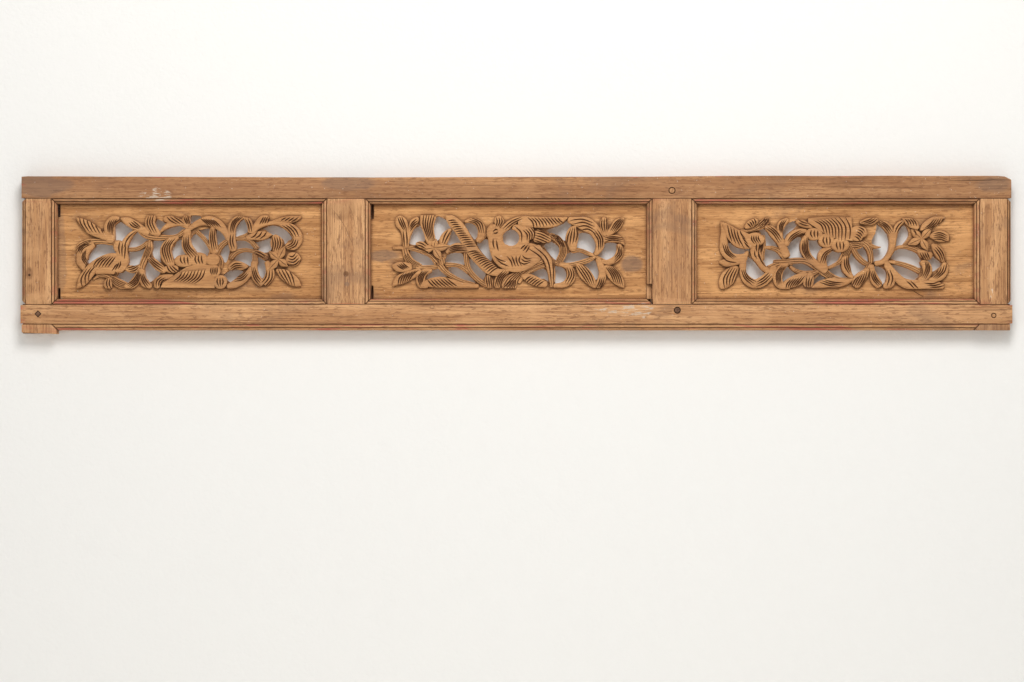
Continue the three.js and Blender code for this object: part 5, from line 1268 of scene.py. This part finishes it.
@dataclass
class PanelFrame:
    """The moulded frame round the boards: two rails, four stiles and the pegs that pin them."""

    openings: list[tuple[float, float]]

    def __post_init__(self) -> None:
        """Works out the heights that the members share."""
        _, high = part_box("top_rail")
        low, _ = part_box("bottom_rail")
        board_low, board_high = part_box("carved_panel_left")
        self.rail_top = high[2] / MILLIMETRE
        self.rail_bottom = low[2] / MILLIMETRE
        self.opening_top = board_high[2] / MILLIMETRE - TONGUE_LENGTH
        self.opening_bottom = board_low[2] / MILLIMETRE + TONGUE_LENGTH
        self.top_quirk = self.opening_top + INNER_MOULDING
        self.bottom_quirk = self.opening_bottom - INNER_MOULDING
        self.lower_quirk = self.rail_bottom + LOWER_MOULDING

    def peg_holes(self) -> list[bpy.types.Object]:
        """Makes the round and square holes that the pegs sit in."""
        holes = []
        for name in PEGS:
            sides = SQUARE_SIDES if name == SQUARE_PEG else ROUND_SIDES
            low, high = (np.array(corner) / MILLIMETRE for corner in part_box(name))
            x, z = (low[0] + high[0]) / 2, (low[2] + high[2]) / 2
            radius = (high[0] - low[0]) / 2 + JOINT_GAP + PEG_EASE
            rings = []
            for depth in (-low[1] - PEG_LENGTH - JOINT_GAP, FRAME_DEPTH + 2 * OVERRUN):
                rings.append([(x + radius * math.sin(angle), -depth, z + radius * math.cos(angle))
                              for angle in full_turn(sides)])
            holes.append(loft(f"hole_{name}", rings))
        return holes

    def top_rail(self) -> bpy.types.Object:
        """Builds the top rail with a moulding over each opening and a long drying crack."""
        rail = Member("top_rail", upright=False)
        parts = [rail.bar(rail.low[0], rail.high[0], self.top_quirk, rail.high[2], dipped=True)]
        for left, right in self.openings:
            parts.append(rail.moulding(left - INNER_MOULDING, right + INNER_MOULDING, self.top_quirk, -1,
                                       INNER_MOULDING, (1, 1)))
        x = rail.high[0]
        cuts = [
            rail.crack([[x - 118, 17], [x - 70, 17.5], [x - 30, 18.5], [x - 2, 18]], 1.3, 5),
            rail.crack([[x - 300, 4], [x - 230, 3], [x - 170, 4.5]], 0.8, 2),
            rail.crack([[-150, 9], [-60, 8], [20, 9.5]], 0.8, 2),
            rail.crack([[-880, -2], [-800, -3], [-735, -2]], 0.8, 2),
        ]
        return rail.finish(parts, cuts + self.peg_holes())

    def bottom_rail(self) -> bpy.types.Object:
        """Builds the bottom rail, lapped over the end stiles, with mouldings above and below its face."""
        rail = Member("bottom_rail", upright=False)
        parts = [rail.bar(rail.low[0], rail.high[0], self.lower_quirk, self.bottom_quirk)]
        for left, right in self.openings:
            parts.append(rail.moulding(left - INNER_MOULDING, right + INNER_MOULDING, self.bottom_quirk, 1,
                                       INNER_MOULDING, (1, 1)))
        first = self.openings[0][0] - INNER_MOULDING
        last = self.openings[-1][1] + INNER_MOULDING
        parts.append(rail.moulding(first, last, self.lower_quirk, -1, LOWER_MOULDING, (1, 1)))
        half = FRAME_DEPTH / 2
        past = 5
        lap_top = self.bottom_quirk + 2
        laps = [
            block("lap", (rail.low[0] - past, -half, self.rail_bottom - past),
                  (self.openings[0][0], past, lap_top)),
            block("lap", (self.openings[-1][1] - JOINT_GAP, -half, self.rail_bottom - past),
                  (rail.high[0] + past, past, lap_top)),
        ]
        x = rail.high[0]
        z = (self.lower_quirk + self.bottom_quirk) / 2
        cuts = [
            rail.crack([[x - 90, z + 9], [x - 40, z + 8], [x - 3, z + 9]], 1.0, 3),
            rail.crack([[-500, z - 4], [-380, z - 3], [-290, z - 5]], 0.8, 2),
            rail.crack([[120, z + 5], [260, z + 6], [350, z + 4]], 0.7, 1.5),
        ]
        return rail.finish(parts, laps + cuts + self.peg_holes())

    def stile(self, node: str) -> bpy.types.Object:
        """Builds a stile between its two mouldings, with the run-on and stub of an end stile."""
        member = Member(node, upright=True)
        left_end = node == "stile_left_end"
        right_end = node == "stile_right_end"
        low_x, high_x = member.low[0], member.high[0]
        left_width = OUTER_MOULDING if left_end else INNER_MOULDING
        right_width = OUTER_MOULDING if right_end else INNER_MOULDING
        face_left = low_x + left_width
        face_right = high_x - right_width
        bottom = self.bottom_quirk + JOINT_GAP
        broken = BROKEN_LENGTH if node == "stile_right_middle" else 0.0
        parts = [
            member.bar(bottom, self.top_quirk - JOINT_GAP, face_left, face_right),
            member.moulding(self.bottom_quirk + broken, self.top_quirk, face_left, -1, left_width,
                            (0 if broken else 1, 1)),
            member.moulding(self.bottom_quirk, self.top_quirk, face_right, 1, right_width, (1, 1)),
        ]
        if broken:
            parts.append(block("break",
                               (low_x, -(FRAME_DEPTH - MOULDING_DROP * 1.4), self.opening_bottom + JOINT_GAP),
                               (face_left + OVERRUN, 0, self.bottom_quirk + broken + OVERRUN)))
        if left_end or right_end:
            parts += self.run_on(member, face_left, face_right, left_end)
        cuts = []
        if node == "stile_left_middle":
            cuts = [
                member.crack([[low_x + 18, -34], [low_x + 40, -62], [low_x + 62, -110]], 1.0, 1.6),
                member.crack([[low_x + 52, -30], [low_x + 60, -52], [low_x + 66, -84]], 0.8, 1.4),
            ]
        return member.finish(parts, cuts + self.peg_holes())

    def run_on(self, member: Member, face_left: float, face_right: float,
               left_end: bool) -> list[bpy.types.Object]:
        """Makes the half-depth run behind the bottom rail and the cut-off stub under it.

        Args:
            member: The end stile.
            face_left: The left side of its face.
            face_right: The right side of its face.
            left_end: True for the left stile.

        Returns:
            The two parts.
        """
        half = FRAME_DEPTH / 2 - JOINT_GAP
        low_x, high_x = member.low[0], member.high[0]
        stub_bottom = member.low[2]
        behind = block("behind", (low_x, -half, stub_bottom + OVERRUN),
                       (high_x - JOINT_GAP, 0, self.bottom_quirk + OVERRUN))
        mitre = LOWER_MOULDING - JOINT_GAP - 2
        top = self.lower_quirk - 2 * JOINT_GAP
        if left_end:
            outline = [(low_x, top), (face_right, top), (face_right + mitre, top - mitre),
                       (face_right + mitre, stub_bottom), (low_x, stub_bottom + 3)]
        else:
            outline = [(face_left - mitre, stub_bottom), (high_x - 2, stub_bottom), (high_x - 2, top),
                       (face_left, top), (face_left - mitre, top - mitre)]
        stub = loft("stub", [[(x, -depth, z) for x, z in outline] for depth in (0.0, FRAME_DEPTH - 1)])
        make_active(stub)
        bevel = stub.modifiers.new("worn", "BEVEL")
        bevel.width = END_ROUNDING * MILLIMETRE
        bevel.segments = 2
        bpy.ops.object.modifier_apply(modifier=bevel.name)
        return [behind, stub]

    def peg(self, node: str) -> bpy.types.Object:
        """Models a peg whose end grain is slightly domed, with a chipped edge."""
        low, high = (np.array(corner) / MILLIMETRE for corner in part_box(node))
        x, z = (low[0] + high[0]) / 2, (low[2] + high[2]) / 2
        radius = (high[0] - low[0]) / 2
        sides = SQUARE_SIDES if node == SQUARE_PEG else ROUND_SIDES
        front = -low[1]
        rings = []
        for share, depth in ((1.0, -high[1]), *((share, front - drop) for share, drop in PEG_CROWN)):
            ring = []
            for angle in full_turn(sides):
                chip = 1.0 - PEG_CHIPS * abs(Wave(2, 0.2, x * 0.01).at(math.sin(angle), depth))
                ring.append((x + radius * share * chip * math.sin(angle), -depth,
                             z + radius * share * chip * math.cos(angle)))
            rings.append(ring)
        piece = loft(f"{node}_finished", rings)
        make_active(piece)
        bpy.ops.object.shade_smooth_by_angle(angle=math.radians(PEG_SMOOTH_ANGLE))
        return piece


# Finishes.


@dataclass(frozen=True)
class Band:
    """How a pattern is used: no colour at low, the full strength at high, and smoothly in between."""

    low: float
    high: float
    strength: float = 1.0


class Signal:
    """A number that varies over a surface, with the usual arithmetic."""

    def __init__(self, graph: "Graph", socket: bpy.types.NodeSocket) -> None:
        """Wraps an output socket of a node tree."""
        self.graph = graph
        self.socket = socket

    def combine(self, operation: str, first: "Signal | float", second: "Signal | float") -> "Signal":
        """Adds one Math node."""
        node = self.graph.node("ShaderNodeMath", {"operation": operation}, {0: first, 1: second})
        return Signal(self.graph, node.outputs[0])

    def __add__(self, other: "Signal | float") -> "Signal":
        """Adds."""
        return self.combine("ADD", self, other)

    __radd__ = __add__

    def __mul__(self, other: "Signal | float") -> "Signal":
        """Multiplies."""
        return self.combine("MULTIPLY", self, other)

    __rmul__ = __mul__

    def __sub__(self, other: "Signal | float") -> "Signal":
        """Subtracts."""
        return self.combine("SUBTRACT", self, other)

    def __rsub__(self, other: float) -> "Signal":
        """Subtracts from a number."""
        return self.combine("SUBTRACT", other, self)

    def __pow__(self, other: float) -> "Signal":
        """Raises to a power."""
        return self.combine("POWER", self, other)

    def between(self, low: float, high: float) -> "Signal":
        """Rises smoothly from 0 at low to 1 at high."""
        node = self.graph.node("ShaderNodeMapRange", {"interpolation_type": "SMOOTHSTEP"},
                               {"Value": self, "From Min": low, "From Max": high})
        return Signal(self.graph, node.outputs["Result"])

    def within(self, band: Band) -> "Signal":
        """Rises over a band to its strength."""
        return self.between(band.low, band.high) * band.strength


class Graph:
    """The node tree of one material."""

    def __init__(self, name: str) -> None:
        """Starts a material with a plain shader."""
        self.material = bpy.data.materials.new(name)
        self.material.use_nodes = True
        self.tree = self.material.node_tree
        self.shader = self.tree.nodes["Principled BSDF"]
        self.place = self.node("ShaderNodeTexCoord").outputs["Object"]

    def node(self, kind: str, settings: dict | None = None, sockets: dict | None = None) -> bpy.types.Node:
        """Adds a node.

        Args:
            kind: The node's type.
            settings: Values of the node itself, set first.
            sockets: Values or links of its inputs, by name or number.

        Returns:
            The node.
        """
        node = self.tree.nodes.new(kind)
        for name, value in (settings or {}).items():
            setattr(node, name, value)
        for name, value in (sockets or {}).items():
            self.feed(node.inputs[name], value)
        return node

    def feed(self, socket: bpy.types.NodeSocket, value: object) -> None:
        """Sets an input to a value, or links it."""
        if isinstance(value, Signal):
            value = value.socket
        if isinstance(value, bpy.types.NodeSocket):
            self.tree.links.new(value, socket)
        else:
            socket.default_value = value

    def noise(self, stretch: tuple[float, float, float], detail: float = 4.0, warp: float = 0.0,
              shift: float = 0.0) -> Signal:
        """Adds a noise pattern whose grains per metre along each axis are given."""
        offset = (shift, shift * 0.7, shift * 1.3)
        mapping = self.node("ShaderNodeMapping", None,
                            {"Vector": self.place, "Scale": stretch, "Location": offset})
        node = self.node("ShaderNodeTexNoise", None,
                         {"Vector": mapping.outputs[0], "Scale": 1.0, "Detail": detail, "Roughness": 0.6,
                          "Distortion": warp})
        return Signal(self, node.outputs[0])

    def attribute(self, name: str) -> Signal:
        """Reads a value that is stored on the mesh."""
        node = self.node("ShaderNodeAttribute", {"attribute_name": name})
        return Signal(self, node.outputs["Fac"])

    def blend(self, share: "Signal | float", first: object, second: object) -> bpy.types.NodeSocket:
        """Mixes two colours."""
        node = self.node("ShaderNodeMix", {"data_type": "RGBA"}, {0: share, 6: first, 7: second})
        return node.outputs[2]


    def vector(self, operation: str, *values: object) -> bpy.types.Node:
        """Adds one Vector Math node."""
        return self.node("ShaderNodeVectorMath", {"operation": operation}, dict(enumerate(values)))

    def bump(self, strength: float, distance: float, height: Signal) -> None:
        """Feeds a height to the shader's normal."""
        node = self.node("ShaderNodeBump", None,
                         {"Strength": strength, "Distance": distance, "Height": height})
        self.feed(self.shader.inputs["Normal"], node.outputs[0])


Colour = tuple[float, float, float, float]

BLOTCH_BROWN = (0.22, 0.12, 0.07, 1.0)
HANDLED_BROWN = (0.46, 0.222, 0.088, 1.0)
PAINT_RED = (0.42, 0.11, 0.07, 1.0)
FLECK_PALE = (0.7, 0.62, 0.52, 1.0)

# The bands of the patterns that colour the wood.
FIGURE = Band(0.36, 0.66)
STREAKS = Band(0.47, 0.68, 0.7)
PORES = Band(0.53, 0.66, 0.6)
RAYS = Band(0.53, 0.64, 0.6)
BLOTCHES = Band(0.53, 0.7, 0.5)
PALE_PATCHES = Band(0.46, 0.3, 0.45)
PAINT = Band(0.5, 0.6)
PAINT_WEAR = Band(0.7, 0.46)
FLECKS = Band(0.715, 0.74, 0.5)
DIRT_AND_PAINTED_SHADE = Band(0.08, 0.55, 0.88)
CUT_DIRT_AND_SHADE = Band(0.0, 0.65, 0.97)
SPOT_EDGE = Band(1.15, 0.7)
SPOT_BREAKS = Band(0.5, 0.58)

# How close a corner has to be, in metres, for painted shade and dirt to darken it.
SHADE_AND_DIRT_REACH = 0.008

# One square of the drawings in metres, and the square where X is 0 and the rail's top lies.
SQUARE = 1.88 * MILLIMETRE
SQUARE_COLUMN = 516.4
SQUARE_ROW = 175.6
TOP_OF_RAIL = 26.5 * MILLIMETRE


@dataclass(frozen=True)
class Spot:
    """A stain, knot, nail hole, darker band or patch of painted shade: its place in squares of the drawing,
    its half sizes and its colour.
    """

    column: float
    row: float
    half_width: float
    half_height: float
    colour: Colour
    strength: float = 1.0
    raggedness: float = 0.0
    broken: bool = False

    def centre(self) -> Point:
        """Works out its place in metres."""
        return ((self.column - SQUARE_COLUMN) * SQUARE, 0.0, TOP_OF_RAIL - (self.row - SQUARE_ROW) * SQUARE)

    def scale(self) -> Point:
        """Works out how much to stretch space so that it becomes round, with no size in depth."""
        return (1 / (self.half_width * SQUARE), 0.0, 1 / (self.half_height * SQUARE))


@dataclass(frozen=True)
class WoodFinish:
    """Old dry wood: figure and streaks along the grain, stains, dirt and painted shade in the corners and
    gouge cuts, and paint traces.
    """

    name: str
    pale: Colour
    middle: Colour
    dark: Colour
    # The colour that corners and gouge cuts darken to, as painted shade and dirt.
    cut: Colour
    grain: Grain
    shift: float = 0.0
    red_share: float = 0.0
    raised_share: float = 0.0
    spots: tuple["Spot", ...] = ()

    def stretched(self, grains: float, across: float = 1.0) -> tuple[float, float, float]:
        """Works out grains per metre along each axis, finer across the grain."""
        return tuple(grains * (1.0 if side == 1.0 else side * across) for side in self.grain.value)

    def material(self) -> bpy.types.Material:
        """Builds the node material."""
        graph = Graph(self.name)
        figure = graph.noise(self.stretched(3.2), detail=5.0, warp=0.6, shift=self.shift)
        streaks = graph.noise(self.stretched(9.0, across=5.0), warp=0.2, shift=self.shift + 3.0)
        pores = graph.noise(self.stretched(40.0, across=5.0), detail=3.0, shift=self.shift + 5.0)
        blotches = graph.noise((7.0, 7.0, 11.0), warp=0.8, shift=self.shift + 8.0)
        flecks = graph.noise((260.0, 260.0, 260.0), detail=2.0, shift=self.shift + 2.0)
        rays = graph.noise(self.stretched(70.0, across=0.34), detail=3.0, shift=self.shift + 9.0)
        colour = graph.blend(figure.within(FIGURE), self.middle, self.pale)
        colour = graph.blend(streaks.within(STREAKS), colour, self.dark)
        colour = graph.blend(pores.within(PORES), colour, self.dark)
        colour = graph.blend(rays.within(RAYS), colour, self.dark)
        colour = graph.blend(blotches.within(BLOTCHES), colour, BLOTCH_BROWN)
        colour = graph.blend(blotches.within(PALE_PATCHES), colour, self.pale)
        if self.raised_share > 0:
            height = graph.node("ShaderNodeSeparateXYZ", None, {0: graph.place}).outputs[1]
            raised = (Signal(graph, height) * -1.0).between((GROUND + 2) * MILLIMETRE,
                                                            (GROUND + 6) * MILLIMETRE)
            colour = graph.blend(raised * self.raised_share, colour, HANDLED_BROWN)
        for spot in self.spots:
            colour = graph.blend(self.spot_share(graph, spot, blotches, rays), colour, spot.colour)
        if self.red_share > 0:
            patches = graph.noise((5.0, 40.0, 60.0), detail=5.0, warp=1.0, shift=self.shift + 12.0)
            worn_patches = patches.within(PAINT) * pores.within(PAINT_WEAR)
            paint = graph.attribute("moulded") * worn_patches * self.red_share
            colour = graph.blend(paint, colour, PAINT_RED)
        colour = graph.blend(flecks.within(FLECKS), colour, FLECK_PALE)
        # Painted shade and dirt: the colour darkens towards the cut colour where ambient occlusion finds
        # close corners and recesses.
        corner = graph.node("ShaderNodeAmbientOcclusion", {"samples": 6}, {"Distance": SHADE_AND_DIRT_REACH})
        shade = 1 - Signal(graph, corner.outputs["AO"])
        colour = graph.blend(shade.within(DIRT_AND_PAINTED_SHADE), colour, self.cut)
        # Painted shade and dirt: darker near the bottoms of the gouge cuts and grooves.
        colour = graph.blend(graph.attribute("cut").within(CUT_DIRT_AND_SHADE), colour, self.cut)
        graph.feed(graph.shader.inputs["Base Color"], colour)
        graph.feed(graph.shader.inputs["Roughness"], 0.62 + 0.25 * streaks)
        graph.shader.inputs["Specular IOR Level"].default_value = 0.3
        graph.bump(strength=0.75, distance=0.0011,
                   height=streaks * 0.5 + pores * 0.6 + figure * 0.4 + rays * 0.5)
        return graph.material

    @staticmethod
    def spot_share(graph: Graph, spot: Spot, blotches: Signal, rays: Signal) -> Signal:
        """Works out how much of a spot's colour shows, with an edge made ragged by the blotches."""
        away = graph.vector("SUBTRACT", graph.place, spot.centre())
        squashed = graph.vector("MULTIPLY", away.outputs[0], spot.scale())
        distance = Signal(graph, graph.vector("LENGTH", squashed.outputs[0]).outputs["Value"])
        share = (distance + (blotches - 0.5) * spot.raggedness).within(SPOT_EDGE) * spot.strength
        if spot.broken:
            share = share * rays.within(SPOT_BREAKS)
        return share


FRAME_PALE = (0.65, 0.36, 0.168, 1.0)
FRAME_MIDDLE = (0.46, 0.228, 0.096, 1.0)
FRAME_DARK = (0.19, 0.08, 0.035, 1.0)
CARVED_PALE = (0.68, 0.355, 0.14, 1.0)
CARVED_MIDDLE = (0.43, 0.2, 0.07, 1.0)
CARVED_DARK = (0.22, 0.09, 0.03, 1.0)
CUT_BROWN = (0.115, 0.043, 0.016, 1.0)
GREY_BROWN = (0.17, 0.11, 0.08, 1.0)
TOP_RAIL_PALE = (0.49, 0.255, 0.115, 1.0)
TOP_RAIL_MIDDLE = (0.33, 0.155, 0.066, 1.0)
RAIL_SHADE = (0.3, 0.135, 0.065, 1.0)
NEARLY_BLACK = (0.03, 0.012, 0.006, 1.0)
OLD_PAINT = (0.72, 0.64, 0.52, 1.0)
PEG_PALE = (0.2, 0.1, 0.055, 1.0)
PEG_MIDDLE = (0.13, 0.06, 0.03, 1.0)
PEG_DARK = (0.06, 0.025, 0.012, 1.0)
PLASTER = (0.79, 0.78, 0.755, 1.0)
# The darker, greyer plaster behind the panel is painted shade.
PLASTER_PAINTED_SHADE = (0.68, 0.7, 0.7, 1.0)
DAYLIGHT = (1.0, 0.985, 0.96, 1.0)

# Marks on the panel, placed by squares of the drawings.
CARVED_SPOTS = (
    # The first four are painted shade: near-black patches on the floors of the gaps at the boards' edges.
    Spot(57.6, 210.5, 1.8, 6.8, NEARLY_BLACK),
    Spot(57.9, 293.5, 1.5, 6, NEARLY_BLACK),
    Spot(371.7, 211.7, 2.2, 8, NEARLY_BLACK),
    Spot(371.9, 292.6, 1.5, 7, NEARLY_BLACK),
    Spot(385, 256, 17, 6, GREY_BROWN, 0.6, 2.4),
    Spot(632, 264, 11, 8, GREY_BROWN, 0.6, 2.4),
    Spot(60, 250, 5, 40, GREY_BROWN, 0.35, 2.4),
    # A darker band along the left board's bottom border, under the carving.
    Spot(180, 292, 110, 4, CUT_BROWN, 0.35, 2.4),
)
RAIL_SPOTS = (
    Spot(150, 186, 260, 10, RAIL_SHADE, 0.25, 2.0),
    Spot(40, 186, 34, 9, GREY_BROWN, 0.5, 2.6),
    Spot(350, 184, 30, 8, GREY_BROWN, 0.45, 2.6),
    Spot(995, 184, 24, 10, GREY_BROWN, 0.45, 2.6),
    Spot(845, 184, 22, 5, CUT_BROWN, 0.3, 2.6),
    Spot(156, 193, 12, 5, OLD_PAINT, 0.55, 6.0, True),
    Spot(628, 311, 26, 6, OLD_PAINT, 0.5, 6.5, True),
    Spot(33, 330, 12, 2.5, OLD_PAINT, 0.7, 6.0, True),
    Spot(432, 307, 2.6, 2.2, CUT_BROWN, 0.55, 0.5),
    Spot(432, 306.8, 1.7, 1.4, FRAME_PALE, 0.45),
)
STILE_SPOTS = (
    Spot(29.4, 275, 1.3, 1.4, NEARLY_BLACK),
    Spot(29.4, 273, 3, 6, CUT_BROWN, 0.45, 1.6),
    Spot(346, 274, 3.4, 3.4, CUT_BROWN, 0.75, 0.8),
    Spot(347, 284, 3, 2.6, GREY_BROWN, 0.5, 0.8),
    Spot(342, 212, 12, 9, CUT_BROWN, 0.25, 3.0),
    Spot(992, 293, 1.6, 5, OLD_PAINT, 0.7, 6.0, True),
)


def mark_mouldings(member: bpy.types.Object) -> None:
    """Stores 1 on vertices that lie lower than the member's face, where paint has lasted."""
    values = []
    for vertex in member.data.vertices:
        depth = -vertex.co.y / MILLIMETRE
        lies_low = FRAME_DEPTH - MOULDING_DROP - 1 < depth < FRAME_DEPTH - END_ROUNDING
        values.append(1.0 if lies_low else 0.0)
    attribute = member.data.attributes.new("moulded", "FLOAT", "POINT")
    attribute.data.foreach_set("value", values)


def dress(piece: bpy.types.Object, node: str, material: bpy.types.Material) -> None:
    """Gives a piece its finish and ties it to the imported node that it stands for."""
    piece.data.materials.clear()
    piece.data.materials.append(material)
    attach(piece, "root")
    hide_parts(node)
    log.info("%s: %d faces", piece.name, len(piece.data.polygons))


# The studio.


@dataclass(frozen=True)
class Studio:
    """The wall behind the panel, the floor, the lights and the camera at the photograph's angle."""

    frame_width: float = 1.925
    distance: float = 5.5
    camera_x: float = -0.0083
    camera_z: float = -0.2845
    wall_gap: float = 0.003
    floor_z: float = -1.1
    surface_size: float = 9.0
    air_strength: float = 0.4
    aim: Point = (0.0, 0.0, -0.12)

    def plaster(self) -> bpy.types.Material:
        """A pale plaster, painted a darker grey behind the panel as shade, that shows from its front alone,
        so the panel's back can be looked at.
        """
        graph = Graph("plaster")
        grain = graph.noise((140.0, 140.0, 140.0), warp=0.3)
        graph.bump(strength=0.35, distance=0.002, height=grain)
        axes = graph.node("ShaderNodeSeparateXYZ", None, {0: graph.place}).outputs
        across = Signal(graph, axes[0])
        height = Signal(graph, axes[2])
        # Painted shade: behind the panel the plaster is a darker grey, for the wall seen through the pierced
        # holes.
        behind = (across * across).between(0.84, 0.8)
        behind = behind * height.between(-0.25, -0.24) * height.between(0.01, 0.0)
        tone = graph.blend(behind, PLASTER, PLASTER_PAINTED_SHADE)
        graph.feed(graph.shader.inputs["Base Color"], tone)
        graph.shader.inputs["Roughness"].default_value = 0.95
        facing = graph.node("ShaderNodeNewGeometry").outputs["Backfacing"]
        clear = graph.node("ShaderNodeBsdfTransparent").outputs[0]
        mix = graph.node("ShaderNodeMixShader", None, {0: facing, 1: graph.shader.outputs[0], 2: clear})
        graph.feed(graph.tree.nodes["Material Output"].inputs["Surface"], mix.outputs[0])
        return graph.material

    def surface(self, name: str, place: Point, turn: float) -> bpy.types.Object:
        """Adds a large flat surface of the studio."""
        deselect_all()
        bpy.ops.mesh.primitive_plane_add(size=self.surface_size, location=place, rotation=(turn, 0.0, 0.0))
        piece = bpy.context.active_object
        piece.name = name
        bpy.ops.object.transform_apply(location=True, rotation=True, scale=True)
        piece.data.materials.append(self.plaster())
        return piece

    def light(self, name: str, place: Point, size: float, power: float) -> None:
        """Adds a soft light that looks at the panel's middle."""
        lamp = bpy.data.lights.new(name, "AREA")
        lamp.size = size
        lamp.energy = power
        holder = bpy.data.objects.new(name, lamp)
        holder.location = place
        holder.rotation_euler = (Vector(self.aim) - Vector(place)).to_track_quat("-Z", "Y").to_euler()
        bpy.context.scene.collection.objects.link(holder)

    def build(self) -> None:
        """Adds the surfaces, lights and camera."""
        wall = self.surface("wall", (0.0, self.wall_gap, 0.0), math.pi / 2)
        wall.visible_shadow = False
        self.surface("floor", (0.0, -3.0, self.floor_z), 0.0)
        self.light("sky_light", (0.3, -2.6, 2.0), size=1.3, power=82.0)
        self.light("front_light", (-1.2, -4.5, 0.8), size=3.0, power=36.0)
        self.light("back_light", (0.5, 4.0, 1.8), size=3.0, power=115.0)
        world = bpy.data.worlds.new("studio_air")
        world.use_nodes = True
        air = world.node_tree.nodes["Background"].inputs
        air["Color"].default_value = DAYLIGHT
        air["Strength"].default_value = self.air_strength
        bpy.context.scene.world = world
        bpy.context.scene.view_settings.view_transform = "Standard"
        camera = bpy.data.cameras.new("camera")
        camera.lens = camera.sensor_width * self.distance / self.frame_width
        holder = bpy.data.objects.new("camera", camera)
        holder.location = (self.camera_x, -self.distance - FRAME_DEPTH * MILLIMETRE, self.camera_z)
        holder.rotation_euler = (math.pi / 2, 0.0, 0.0)
        bpy.context.scene.collection.objects.link(holder)
        bpy.context.scene.camera = holder


def frame_finish(name: str, grain: Grain, shift: float, **changes: object) -> bpy.types.Material:
    """Builds a finish of the frame's wood.

    Args:
        name: The material's name.
        grain: Which way its grain runs.
        shift: Where its pattern starts, so that no two pieces look alike.
        changes: Fields of the finish that differ from the frame's plain wood.

    Returns:
        The material.
    """
    colours = {"pale": FRAME_PALE, "middle": FRAME_MIDDLE, "dark": FRAME_DARK, "cut": CUT_BROWN}
    return WoodFinish(name=name, grain=grain, shift=shift, **{**colours, **changes}).material()


def dress_boards(boards: list[CarvedBoard]) -> None:
    """Carves and dresses the three boards."""
    for number, board in enumerate(boards):
        finish = WoodFinish(f"carved_wood_{number}", CARVED_PALE, CARVED_MIDDLE, CARVED_DARK, CUT_BROWN,
                            Grain.ALONG, shift=2.0 + 5.0 * number, raised_share=0.5, spots=CARVED_SPOTS)
        dress(board.build(), board.node, finish.material())


def dress_frame(frame: PanelFrame) -> None:
    """Builds and dresses the rails, the stiles and the pegs."""
    rail_wood = frame_finish("rail_wood", Grain.ALONG, 1.0, red_share=1.0, spots=RAIL_SPOTS)
    top_wood = frame_finish("top_rail_wood", Grain.ALONG, 5.0, red_share=1.0, spots=RAIL_SPOTS,
                            pale=TOP_RAIL_PALE, middle=TOP_RAIL_MIDDLE)
    stile_wood = frame_finish("stile_wood", Grain.UPRIGHT, 4.0, red_share=0.4, spots=STILE_SPOTS)
    members = {
        "top_rail": (frame.top_rail(), top_wood),
        "bottom_rail": (frame.bottom_rail(), rail_wood),
    }
    for node in ("stile_left_end", "stile_left_middle", "stile_right_middle", "stile_right_end"):
        members[node] = (frame.stile(node), stile_wood)
    for node, (member, wood) in members.items():
        mark_mouldings(member)
        dress(member, node, wood)
    # The pegs' corners darken to near black as painted shade and dirt.
    dark_wood = frame_finish("peg_wood", Grain.ALONG, 7.0, pale=PEG_PALE, middle=PEG_MIDDLE,
                             dark=PEG_DARK, cut=NEARLY_BLACK)
    pale_wood = frame_finish("pale_peg_wood", Grain.UPRIGHT, 6.0)
    for node in PEGS:
        wood = dark_wood if node in DARK_PEGS else pale_wood
        dress(frame.peg(node), node, wood)


def main() -> None:
    """Builds and dresses the panel, then the studio round it."""
    logging.basicConfig(level=logging.INFO, format="%(message)s")
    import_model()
    boards = [CarvedBoard(node, drawing) for node, drawing in DRAWINGS.items()]
    dress_boards(boards)
    dress_frame(PanelFrame([(board.left, board.right) for board in boards]))
    Studio().build()


if __name__ == "__main__":
    main()
